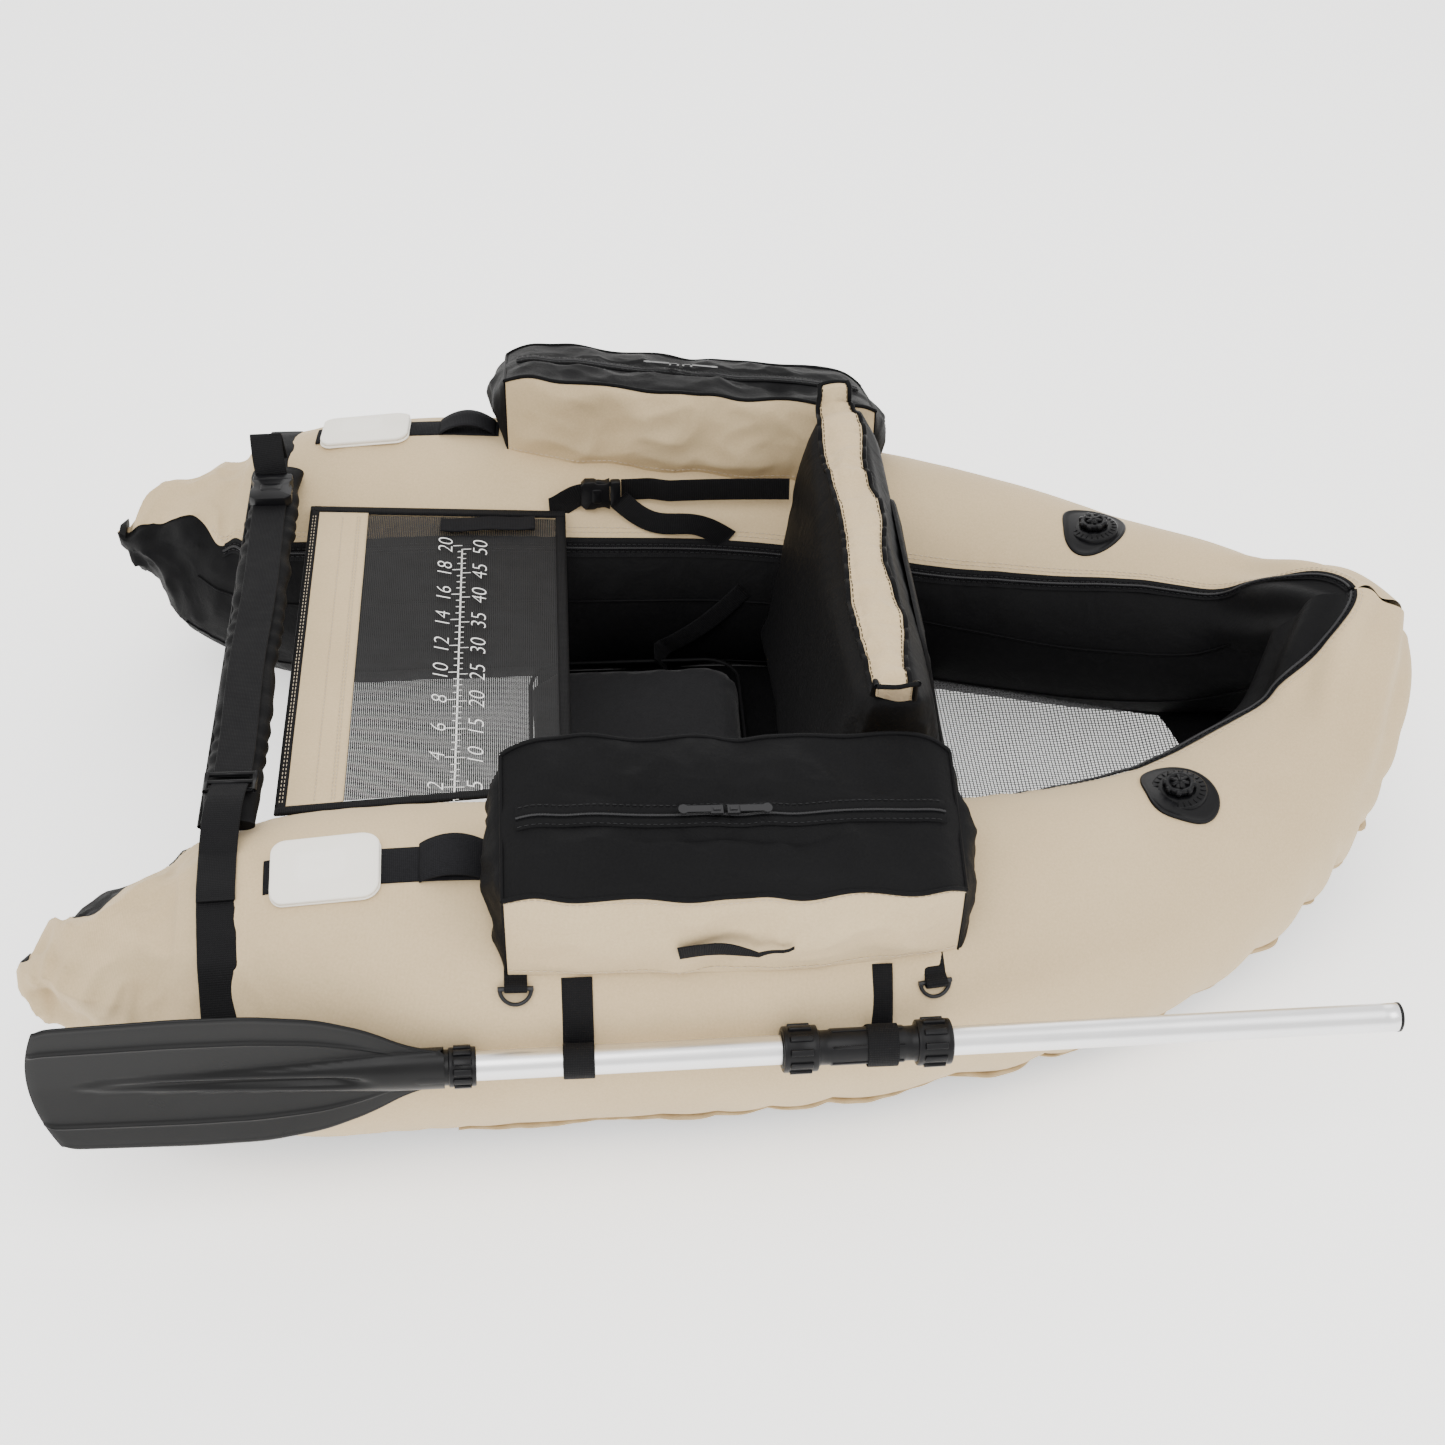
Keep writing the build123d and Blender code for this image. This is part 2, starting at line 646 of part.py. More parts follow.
band_end = APRON_FRONT + APRON_BAND
mesh_start = band_end + CLEAR
mesh_end = APRON_REAR - BINDING
nodes["apron_band"] = apron_strip(APRON_FRONT, band_end, BINDING + CLEAR, 0, APRON_WALL)
nodes["apron_mesh"] = apron_strip(mesh_start, mesh_end - CLEAR, BINDING + CLEAR, 0, APRON_WALL)
rim = apron_strip(APRON_FRONT, APRON_REAR, 0, 0, APRON_WALL)
rim_hole = apron_strip(APRON_FRONT - 5, mesh_end, BINDING, -1, APRON_WALL + 1)
PATCH_LENGTH = 110.0
PATCH_WIDTH = 26.0
PATCH_WALL = 1.6
PATCH_X = -262.0
PATCH_Y = APRON_HALF_REAR - 30
velcro = Pos(PATCH_X, PATCH_Y, APRON_Z + APRON_WALL + CLEAR + PATCH_WALL / 2)
velcro = velcro * Box(PATCH_LENGTH, PATCH_WIDTH, PATCH_WALL)
nodes["apron_binding"] = solids_of(rim - rim_hole, velcro)

# ---- stabilizer bar ------------------------------------------------------------
sleeve_floor = surface_z(BAR_X + SLEEVE_HALF_WIDTH * 0.75, BAR_HALF) + CLEAR
bar_z = sleeve_floor + SLEEVE_WALL + CLEAR + BAR_RADIUS
bar_turn = Rot(90, 0, 0)
nodes["stabilizer_bar"] = Pos(BAR_X, 0, bar_z) * (bar_turn * Cylinder(BAR_RADIUS, 2 * BAR_HALF - 8))


def sleeve_outline(wall):
    """Flattened oval section round the bar."""
    return SlotOverall(2 * (SLEEVE_HALF_WIDTH + wall), 2 * (BAR_RADIUS + CLEAR + wall))


sleeve_plane = Plane(origin=Vector(BAR_X, 0, bar_z), x_dir=Vector(1, 0, 0), z_dir=Vector(0, 1, 0))
sleeve = extrude(sleeve_plane * sleeve_outline(SLEEVE_WALL), BAR_HALF, both=True)
sleeve_hole = extrude(sleeve_plane * sleeve_outline(0), BAR_HALF - SLEEVE_WALL, both=True)
nodes["stabilizer_sleeve"] = sleeve - sleeve_hole

web_z = bar_z + BAR_RADIUS + CLEAR + SLEEVE_WALL + CLEAR
BAR_BUCKLE_LENGTH = 40.0
bar_web = block(
    BAR_X - WIDE_WEB / 2, BAR_X + WIDE_WEB / 2,
    GLIDE_Y + 8, BAR_BUCKLE_Y - BAR_BUCKLE_LENGTH - CLEAR,
    web_z, web_z + WEBBING,
)
nodes["stabilizer_webbing"] = bar_web
bar_female, bar_male = buckle(BAR_BUCKLE_LENGTH, WIDE_WEB + 10, 12.0, 24.0)
bar_frame = Plane(
    origin=Vector(BAR_X, BAR_BUCKLE_Y, web_z + 6.2), x_dir=Vector(0, 1, 0), z_dir=Vector(-1, 0, 0)
)
nodes["stabilizer_buckle_female"] = bar_frame * bar_female
nodes["stabilizer_buckle_male"] = bar_frame * bar_male
glide = Box(WIDE_WEB + 14, 26.0, 5.0)
for slot_y in (-6.0, 6.0):
    glide = glide - Pos(0, slot_y, 0) * Box(WIDE_WEB + 3, 5.0, 10.0)
glide = Pos(BAR_X, GLIDE_Y - 6, web_z + 2.7) * glide
nodes["stabilizer_tri_glide"] = glide

wrap_right = patch(CLEAR, CLEAR + WEBBING, -14.0, 96.0, BAR_X - WIDE_WEB / 2, BAR_X + WIDE_WEB / 2)
nodes["stabilizer_wrap_straps"] = solids_of(wrap_right, flipped(wrap_right))

# ---- cargo floor ----------------------------------------------------------------


def bow_floor():
    """Mesh floor between the tubes, from the backrest to the bow."""
    reach = gap_half_width(BOW_FLOOR_START, BOW_FLOOR_Z) + 70
    plate = block(
        BOW_FLOOR_START, BOW_FLOOR_END, -reach, reach, BOW_FLOOR_Z, BOW_FLOOR_Z + MESH_WALL
    )
    hull = tube(CLEAR, *span(BOW_FLOOR_START, BOW_FLOOR_END))
    pieces = (plate - hull - flipped(hull)).solids()
    return max(pieces, key=lambda piece: piece.volume)


nodes["bow_floor"] = bow_floor()

# ---- paddle -----------------------------------------------------------------------
beside_y, _, beside_radius = tube_at(PADDLE_BESIDE_X)
beside = beside_y + beside_radius + COLLAR_RADIUS
PADDLE_NECK = Vector(PADDLE_NECK_AT[0], -beside - PADDLE_NECK_GAP, PADDLE_NECK_AT[1])
PADDLE_END = Vector(PADDLE_END_AT[0], -beside - PADDLE_END_GAP, PADDLE_END_AT[1])
paddle_run = PADDLE_END - PADDLE_NECK
SHAFT_LENGTH = paddle_run.length
paddle_axis = paddle_run.normalized()


def paddle_plane(at, lift=0.0):
    """Plane across the paddle: X towards the tube's axis, Z along the paddle."""
    origin = PADDLE_NECK + paddle_axis * at
    y, z, radius = tube_at(min(origin.X, CENTRES[8].X))
    inward = Vector(0, -y - origin.Y, z - origin.Z)
    inward = inward - paddle_axis * inward.dot(paddle_axis)
    return Plane(origin=origin, x_dir=inward.normalized(), z_dir=paddle_axis)


def paddle_ring(at, length, outer, inner):
    """Tube piece on the paddle's axis, starting at a distance from the neck."""
    plane = paddle_plane(at)
    ring = Cylinder(outer, length, align=ON_FOOT)
    if inner:
        ring = ring - Cylinder(inner, 3 * length)
    return plane * ring


RUN_FIT = 0.25
joint_at = COUPLING_START + COUPLING_LENGTH / 2
lower_shaft = paddle_ring(0, joint_at - 2, SHAFT_RADIUS, SHAFT_RADIUS - SHAFT_WALL)
nodes["paddle_lower_shaft"] = lower_shaft
upper_end = SHAFT_LENGTH - 3
nodes["paddle_upper_shaft"] = paddle_ring(
    joint_at + 2, upper_end - joint_at - 2, SHAFT_RADIUS, SHAFT_RADIUS - SHAFT_WALL
)
plug = paddle_ring(upper_end + 0.2, 2.8, SHAFT_RADIUS, 0)
plug_core = paddle_ring(upper_end - 14, 14.4, SHAFT_RADIUS - SHAFT_WALL - 0.1, 0)
nodes["paddle_end_plug"] = plug + plug_core
sleeve_at = COUPLING_START + 4
sleeve_length = COUPLING_LENGTH - 8
coupling = paddle_ring(sleeve_at, sleeve_length, COUPLING_RADIUS, SHAFT_RADIUS + RUN_FIT)
nodes["paddle_coupling"] = coupling


def collar(at):
    """Ribbed clamping collar that turns on the coupling."""
    ring = paddle_ring(at, COLLAR_LENGTH, COLLAR_RADIUS - 2.0, COUPLING_RADIUS + RUN_FIT)
    plane = paddle_plane(at + COLLAR_LENGTH / 2)
    for turn in range(0, 360, 36):
        rib = Rot(0, 0, turn) * (Pos(COLLAR_RADIUS - 2.0, 0, 0) * Box(4.0, 6.0, COLLAR_LENGTH - 8))
        ring = ring + plane * rib
    return ring


nodes["coupling_collar_lower"] = collar(COUPLING_START + 5)
nodes["coupling_collar_upper"] = collar(COUPLING_START + COUPLING_LENGTH - 5 - COLLAR_LENGTH)

NECK_LENGTH = 34.0
NECK_RADIUS = SHAFT_RADIUS + 2.8
BLADE_COLLAR_LENGTH = 26.0
BLADE_COLLAR_RADIUS = NECK_RADIUS + 4.0
blade_face = Vector(0, -1, 0)
blade_face = (blade_face - paddle_axis * blade_face.dot(paddle_axis)).normalized()
blade_frame = Plane(origin=PADDLE_NECK, x_dir=paddle_axis * -1, z_dir=blade_face)


def blade():
    """Blade with a socket for the shaft, a spine rib and a squared tip."""
    half = BLADE_WIDTH / 2
    # distance from the neck and share of half the width: shoulder, then the tip
    shoulder = ((24, 0.23), (60, 0.52), (120, 0.9), (180, 1.0))
    tip = ((0, -0.94), (14, -0.86), (20, 0.5), (6, 0.9))
    points = [(x, -share * half) for x, share in shoulder]
    points += [(BLADE_LENGTH + x, share * half) for x, share in tip]
    points += [(x, share * half) for x, share in reversed(shoulder)]
    outline = make_face(Polyline(*points, close=True))
    plate = extrude(blade_frame * outline, BLADE_THICKNESS / 2, both=True)
    lying = Rot(0, 90, 0)
    spine = Pos(BLADE_LENGTH / 2 - 10, 0, 0) * lying * Cone(NECK_RADIUS, 6.0, BLADE_LENGTH - 30)
    socket = Pos(8, 0, 0) * lying * Cylinder(NECK_RADIUS, NECK_LENGTH + 26)
    bore = Pos(-2, 0, 0) * lying * Cylinder(SHAFT_RADIUS + 0.05, NECK_LENGTH + 8)
    return plate + blade_frame * spine + blade_frame * socket - blade_frame * bore


nodes["paddle_blade"] = blade()
nodes["blade_collar"] = paddle_ring(
    -6, BLADE_COLLAR_LENGTH, BLADE_COLLAR_RADIUS, NECK_RADIUS + RUN_FIT
)

OAR_LEG = 34.0


def oar_strap(at, hold):
    """Webbing that leaves the tube, passes round the paddle and returns."""
    inner = hold + CLEAR
    outer = inner + WEBBING
    outside = Circle(outer) + Pos(OAR_LEG / 2, 0, 0) * Rectangle(OAR_LEG, 2 * outer)
    inside = Circle(inner) + Pos(OAR_LEG / 2, 0, 0) * Rectangle(OAR_LEG + 1, 2 * inner)
    plane = paddle_plane(at)
    loop = extrude(plane * (outside - inside), NARROW_WEB / 2, both=True)
    x = plane.origin.X
    loop = loop - flipped(tube(CLEAR, *span(x - 40, x + 40)))
    y, z, radius = tube_at(x)
    lean = Vector(0, -y - plane.origin.Y, z - plane.origin.Z)
    leg_angle = Vector(0, 0, -1).get_angle(lean) - outer / radius * 57.3
    tab = patch(
        CLEAR, CLEAR + WEBBING, leg_angle - 16, leg_angle + 1.2,
        x - NARROW_WEB / 2, x + NARROW_WEB / 2,
    )
    return loop + flipped(tab)


straps = [oar_strap(OAR_STRAP_AT[0], SHAFT_RADIUS), oar_strap(OAR_STRAP_AT[1], COUPLING_RADIUS)]
nodes["oar_straps"] = solids_of(*straps)

# ---- origin and export ------------------------------------------------------------
boxes = [shape.bounding_box() for shape in nodes.values()]
low = Vector(*[min(tuple(box.min)[k] for box in boxes) for k in range(3)])
high = Vector(*[max(tuple(box.max)[k] for box in boxes) for k in range(3)])
ORIGIN = Vector((low.X + high.X) / 2, (low.Y + high.Y) / 2, 0)

if __name__ == "__main__":
    os.makedirs("parts", exist_ok=True)
    for name, shape in nodes.items():
        export_step(Pos(-ORIGIN.X, -ORIGIN.Y, -ORIGIN.Z) * shape, "parts/" + name + ".step")
    print(len(nodes), "nodes; origin shift", ORIGIN)
    print("size", high - low)
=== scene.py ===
from math import cos, pi, radians, sin

import bmesh
import bpy
import numpy as np
from mathutils import Matrix, Vector, noise


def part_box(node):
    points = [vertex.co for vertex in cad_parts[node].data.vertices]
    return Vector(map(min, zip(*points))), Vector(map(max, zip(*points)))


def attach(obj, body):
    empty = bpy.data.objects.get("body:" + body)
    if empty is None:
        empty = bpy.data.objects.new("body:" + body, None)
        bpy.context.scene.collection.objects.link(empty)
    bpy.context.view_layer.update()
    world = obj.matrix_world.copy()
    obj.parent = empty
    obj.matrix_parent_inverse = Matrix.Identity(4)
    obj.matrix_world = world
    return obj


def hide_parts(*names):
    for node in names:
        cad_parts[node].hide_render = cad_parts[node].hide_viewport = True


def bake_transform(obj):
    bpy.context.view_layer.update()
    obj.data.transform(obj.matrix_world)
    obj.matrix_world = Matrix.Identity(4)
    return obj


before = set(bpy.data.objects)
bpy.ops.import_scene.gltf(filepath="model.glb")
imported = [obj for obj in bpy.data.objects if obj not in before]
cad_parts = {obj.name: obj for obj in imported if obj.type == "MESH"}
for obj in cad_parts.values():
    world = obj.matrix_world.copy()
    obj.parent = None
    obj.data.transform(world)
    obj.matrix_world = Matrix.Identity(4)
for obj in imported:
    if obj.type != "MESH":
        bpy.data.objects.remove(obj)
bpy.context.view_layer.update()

# V-shaped inflatable float tube. Lengths are metres. Pieces are built in the
# hull's own frame, +X to the bow and Y = 0 the plane of symmetry, with X = 0
# in the middle of the hull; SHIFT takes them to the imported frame.
SEAT_FRONT = -0.232
SHIFT = Vector((
    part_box("seat_cushion")[0].x - SEAT_FRONT,
    (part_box("left_cover_top")[0].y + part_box("right_cover_top")[1].y) / 2,
    0.0,
))
LEFT, RIGHT = -1.0, 1.0

# ---- the tube's spine ------------------------------------------------------
SPINE_LENGTH = 1.414
TAIL_X = -0.712
TUBE_SPACING = 0.734
TUBE_RADIUS = 0.162
FLOOR_DIP = 0.0008
# share of the spine's length, share of half the spacing, radius and height
# of the centre as shares of the largest radius
STATIONS = np.array((
    (0.000, 1.041, 0.111, 1.160),
    (0.040, 1.038, 0.444, 1.123),
    (0.096, 1.022, 0.765, 0.988),
    (0.164, 1.008, 0.957, 0.969),
    (0.266, 1.000, 1.000, 1.000),
    (0.398, 0.992, 0.969, 0.969),
    (0.526, 0.984, 0.926, 0.926),
    (0.645, 0.913, 0.877, 0.877),
    (0.762, 0.785, 0.809, 0.809),
    (0.836, 0.646, 0.741, 0.821),
    (0.900, 0.485, 0.667, 0.944),
    (0.956, 0.300, 0.543, 1.154),
    (0.987, 0.104, 0.481, 1.481),
    (1.000, -0.068, 0.444, 1.617),
))
KNOTS = np.stack([
    TAIL_X + STATIONS[:, 0] * SPINE_LENGTH,
    STATIONS[:, 1] * TUBE_SPACING / 2,
    STATIONS[:, 3] * TUBE_RADIUS - FLOOR_DIP,
    STATIONS[:, 2] * TUBE_RADIUS,
], axis=1)
STEPS = np.linalg.norm(np.diff(KNOTS[:, :3], axis=0), axis=1)
MARKS = np.concatenate([[0.0], np.cumsum(STEPS)])
SLOPES = np.gradient(KNOTS, MARKS, axis=0)
SPINE_END = MARKS[-1]


def hermite(s):
    """X, Y, Z of the centre and the radius at distances s along the spine."""
    s = np.atleast_1d(np.asarray(s, float))
    i = np.clip(np.searchsorted(MARKS, s, side="right") - 1, 0, len(MARKS) - 2)
    h = (MARKS[i + 1] - MARKS[i])[:, None]
    u = ((s - MARKS[i]) / h[:, 0])[:, None]
    a, b, da, db = KNOTS[i], KNOTS[i + 1], SLOPES[i] * h, SLOPES[i + 1] * h
    return (2 * u**3 - 3 * u**2 + 1) * a + (u**3 - 2 * u**2 + u) * da \
        + (3 * u**2 - 2 * u**3) * b + (u**3 - u**2) * db


def unit(v):
    """Rows of v at length 1."""
    return v / np.maximum(np.linalg.norm(v, axis=-1, keepdims=True), 1e-12)


def frames(s):
    """Centre, radius, along, side and up of the right tube at distances s."""
    step = 0.002
    here = hermite(s)
    along = unit(hermite(np.clip(s + step, 0, SPINE_END))[:, :3]
        - hermite(np.clip(s - step, 0, SPINE_END))[:, :3])
    side = unit(np.cross(np.array((0.0, 0.0, 1.0)), along))
    return here[:, :3], here[:, 3], along, side, np.cross(along, side)


def skin(s, angle, lift=0.0):
    """Points on the right tube: angle 0 is the crest, positive is outward."""
    s, angle, lift = np.broadcast_arrays(np.asarray(s, float), np.radians(angle),
        np.asarray(lift, float))
    centre, radius, along, side, up = frames(s.ravel())
    a = angle.ravel()[:, None]
    out = up * np.cos(a) + side * np.sin(a)
    points = centre + out * (radius[:, None] + lift.ravel()[:, None])
    return points.reshape(s.shape + (3,)), out.reshape(s.shape + (3,))


def distance_at(x, angle):
    """Distance along the spine whose skin point at that angle has that X."""
    trial = np.linspace(0, SPINE_END, 900)
    points, _ = skin(trial, angle)
    return float(np.interp(x, points[:, 0], trial))


def local(x, angle, lift=0.0, side=RIGHT):
    """Matrix on a tube's skin: X along the tube, Y round it, Z outward."""
    s = distance_at(x, angle)
    point, out = skin(s, angle, lift)
    along = frames(np.array([s]))[2][0]
    z = out.reshape(3)
    x_axis = unit(along - z * along.dot(z))
    y_axis = np.cross(z, x_axis)
    m = np.eye(4)
    m[:3, 0], m[:3, 1], m[:3, 2], m[:3, 3] = x_axis, y_axis, z, point.reshape(3)
    if side == LEFT:
        flip = np.diag((1.0, -1.0, 1.0, 1.0))
        m = flip @ m @ flip
    return Matrix(m.tolist())


# ---- mesh helpers ----------------------------------------------------------
def smooth_step(low, high, value):
    """0 below low, 1 above high, smooth between."""
    u = np.clip((value - low) / (high - low), 0, 1)
    return u * u * (3 - 2 * u)


def wobble(points, size, seed=0.0):
    """Smooth noise from -1 to 1 at each point, with lumps about size metres."""
    flat = points.reshape(-1, 3) / size + seed * 7.31
    values = [noise.noise(Vector(p)) for p in flat]
    return np.array(values).reshape(points.shape[:-1])


def creases(points, size, seed=0.0):
    """Noise from 0 to 1 with sharp ridges, like folded cloth."""
    return 1 - np.abs(wobble(points, size, seed)) * 2.2


def build(name, verts, faces, material, body, uvs=None, smooth=True, shift=True):
    """Mesh object that rides on a body, from hull-frame points and faces."""
    mesh = bpy.data.meshes.new(name)
    mesh.from_pydata(np.asarray(verts, float).reshape(-1, 3).tolist(), [],
        [list(map(int, f)) for f in faces])
    if uvs is not None:
        layer = mesh.uv_layers.new(name="UVMap")
        layer.data.foreach_set("uv", np.asarray(uvs, np.float32).ravel())
    mesh.update()
    if shift:
        mesh.transform(Matrix.Translation(SHIFT))
    mesh.polygons.foreach_set("use_smooth", [smooth] * len(mesh.polygons))
    mesh.materials.append(material)
    piece = bpy.data.objects.new(name, mesh)
    bpy.context.scene.collection.objects.link(piece)
    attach(piece, body)
    return piece


def build_sheet(name, sheet, material, body):
    """Piece from what sheet_mesh gives: vertices, faces and UVs."""
    verts, faces, uvs = sheet
    return build(name, verts, faces, material, body, uvs)


def grid_faces(rows, columns, loop_rows=False, loop_columns=False):
    """Faces of a grid, and the grid place of each face corner."""
    i, j = np.meshgrid(
        np.arange(rows if loop_rows else rows - 1),
            np.arange(columns if loop_columns else columns - 1), indexing="ij"
    )
    corner = np.stack([np.stack([i + a, j + b], -1) for a,
            b in ((0, 0), (1, 0), (1, 1), (0, 1))], 2)
    corner = corner.reshape(-1, 4, 2)
    return (corner[..., 0] % rows) * columns + corner[..., 1] % columns, corner


def sheet_mesh(points, uv=None, loop_rows=False, loop_columns=False, flip=False):
    """Vertices, faces and corner UVs of a grid of points; UVs in metres."""
    points = np.asarray(points, float)
    rows, columns = points.shape[:2]
    faces, corner = grid_faces(rows, columns, loop_rows, loop_columns)
    if uv is None:
        u = np.concatenate([[0], np.cumsum(np.linalg.norm(np.diff(points, axis=0),
                        axis=2).mean(1))])
        v = np.concatenate([[0], np.cumsum(np.linalg.norm(np.diff(points, axis=1),
                        axis=2).mean(0))])
        u = np.append(u, u[-1] * (1 + 1 / max(rows - 1, 1)))
        v = np.append(v, v[-1] * (1 + 1 / max(columns - 1, 1)))
        corner_uv = np.stack([u[corner[..., 0]], v[corner[..., 1]]], -1)
    else:
        corner_uv = uv[np.minimum(corner[..., 0], rows - 1),
            np.minimum(corner[..., 1], columns - 1)]
    if flip:
        faces, corner_uv = faces[:, ::-1], corner_uv[:, ::-1]
    return points.reshape(-1, 3), faces, corner_uv.reshape(-1, 2)


def joined(*parts):
    """One mesh's vertices, faces and UVs from several; faces may have any size."""
    verts, faces, uvs, base = [], [], [], 0
    for v, f, uv in parts:
        verts.append(np.asarray(v, float).reshape(-1, 3))
        faces += [[int(k) + base for k in face] for face in f]
        uvs.append(np.asarray(uv, float).reshape(-1, 2))
        base += len(verts[-1])
    return np.concatenate(verts), faces, np.concatenate(uvs)


def mirrored(part):
    """The same mesh on the other side of the plane of symmetry."""
    verts, faces, uvs = part
    uvs = np.asarray(uvs).reshape(-1, 2)
    turned, at = [], 0
    for face in faces:
        turned.append(uvs[at:at + len(face)][::-1])
        at += len(face)
    return verts * np.array((1.0, -1.0, 1.0)), [list(face)[::-1]
        for face in faces], np.concatenate(turned)


def sided(part, side):
    """A right-hand mesh, or its mirror image for the left."""
    return part if side == RIGHT else mirrored(part)


def moved(part, matrix):
    """A mesh after a matrix."""
    m = np.array(matrix)
    return part[0] @ m[:3, :3].T + m[:3, 3], part[1], part[2]


def finish_edges(piece, bevel=0.0, levels=0, thickness=0.0, offset=0.0):
    """Thickness, rounded edges and subdivision, applied to the mesh."""
    if thickness:
        solid = piece.modifiers.new("thickness", "SOLIDIFY")
        solid.thickness, solid.offset = thickness, offset
    if bevel:
        edge = piece.modifiers.new("edge", "BEVEL")
        edge.width, edge.segments, edge.limit_method = bevel, 2, "ANGLE"
        edge.angle_limit = radians(35)
    if levels:
        piece.modifiers.new("smooth", "SUBSURF").levels = levels
        piece.modifiers["smooth"].render_levels = levels
    bpy.context.view_layer.update()
    shape = piece.evaluated_get(bpy.context.evaluated_depsgraph_get())
    old = piece.data
    piece.data = bpy.data.meshes.new_from_object(shape)
    piece.modifiers.clear()
    bpy.data.meshes.remove(old)
    return piece


def ribbon(path, across, width, thick, bulge=0.25):
    """Strap along a path: a flat section with rounded edges; UV along and across."""
    path, across = np.asarray(path, float), unit(np.asarray(across, float))
    along = unit(np.gradient(path, axis=0))
    across = unit(across - along * (across * along).sum(-1, keepdims=True))
    up = np.cross(along, across)
    w, t = width / 2, thick / 2
    half = [(-w, 0), (-w + t * bulge * 2, t * 0.8), (-w * 0.9, t), (-w * 0.3, t * 1.06),
        (w * 0.3, t * 1.06), (w * 0.9, t), (w - t * bulge * 2, t * 0.8), (w, 0)]
    outline = np.array(half + [(a, -b) for a, b in half[-2:0:-1]])
    points = path[:, None] + across[:, None] * outline[None, :, :1] + up[:,
        None] * outline[None, :, 1:]
    length = np.concatenate([[0], np.cumsum(np.linalg.norm(np.diff(path, axis=0), axis=1))])
    girth = np.append(outline[:, 0], outline[0, 0])
    rows, columns = points.shape[:2]
    faces, corner = grid_faces(rows, columns, loop_columns=True)
    uv = np.stack([length[corner[..., 0]], girth[np.minimum(corner[..., 1], columns)]], -1)
    faces = [list(f) for f in faces] + [list(range(columns))[::-1],
        [(rows - 1) * columns + k for k in range(columns)]]
    ends = np.concatenate([np.stack([np.zeros(columns), outline[::-1, 0]], -1),
            np.stack([np.full(columns, length[-1]), outline[:, 0]], -1)])
    return points.reshape(-1, 3), faces, np.concatenate([uv.reshape(-1, 2), ends])


def pipe(path, radius, sides=8, closed=False, ends=True):
    """Round tube along a path; radius may change along it."""
    path = np.asarray(path, float)
    n = len(path)
    if closed:
        along = unit(np.roll(path, -1, 0) - np.roll(path, 1, 0))
    else:
        along = unit(np.gradient(path, axis=0))
    normal = np.cross(along[0], (0.0, 0.0, 1.0) if abs(along[0][2]) < 0.9 else (1.0, 0.0, 0.0))
    normals = []
    for a in along:
        normal = normal - a * normal.dot(a)
        normal = normal / np.linalg.norm(normal)
        normals.append(normal)
    normals = np.array(normals)
    other = np.cross(along, normals)
    turn = np.arange(sides) * 2 * pi / sides
    radius = np.broadcast_to(radius, n)
    ring = normals[:, None] * np.cos(turn)[None, :, None] + other[:, None] * np.sin(turn)[None,
        :, None]
    points = path[:, None] + ring * radius[:, None, None]
    length = np.concatenate([[0], np.cumsum(np.linalg.norm(np.diff(path, axis=0), axis=1))])
    faces, corner = grid_faces(n, sides, loop_rows=closed, loop_columns=True)
    uv = np.stack([np.append(length, length[-1])[corner[..., 0]], corner[..., 1] * 2 * pi
            * radius.mean() / sides], -1)
    faces, uv = [list(f) for f in faces], uv.reshape(-1, 2)
    if ends and not closed:
        faces += [list(range(sides))[::-1], [(n - 1) * sides + k for k in range(sides)]]
        uv = np.concatenate([uv, np.zeros((2 * sides, 2))])
    return points.reshape(-1, 3), faces, uv


def lathe(profile, sides=40):
    """Turned shape about Z from (radius, height) pairs."""
    turn = np.arange(sides) * 2 * pi / sides
    points = np.array([[(r * cos(a), r * sin(a), z) for a in turn] for r, z in profile])
    return sheet_mesh(points, loop_columns=True, flip=True)


def slab(outline, thick, crown=0.0):
    """Flat plate from an XY outline, 0 to thick in Z, with a slight crown."""
    outline = np.asarray(outline, float)
    n = len(outline)
    low = np.concatenate([outline, np.zeros((n, 1))], 1)
    high = np.concatenate([outline, np.full((n, 1), thick)], 1)
    centre = outline.mean(0)
    verts = np.concatenate([low, high, [[*centre, thick + crown], [*centre, 0.0]]])
    faces = [[k, (k + 1) % n, n + (k + 1) % n, n + k] for k in range(n)]
    faces += [[n + k, n + (k + 1) % n, 2 * n] for k in range(n)]
    faces += [[(k + 1) % n, k, 2 * n + 1] for k in range(n)]
    uv = np.concatenate([verts[f][:, :2] + verts[f][:, 2:] for f in faces])
    return verts, faces, uv


def rounded(width, height, radius, steps=5, x=0.0, y=0.0):
    """Outline of a rounded rectangle about (x, y)."""
    points = []
    for cx, cy, start in ((1, 1, 0), (-1, 1, 90), (-1, -1, 180), (1, -1, 270)):
        for k in range(steps + 1):
            a = radians(start + 90 * k / steps)
            points.append((x + cx * (width / 2 - radius) + radius * cos(a), y + cy
                    * (height / 2 - radius) + radius * sin(a)))
    return np.array(points)


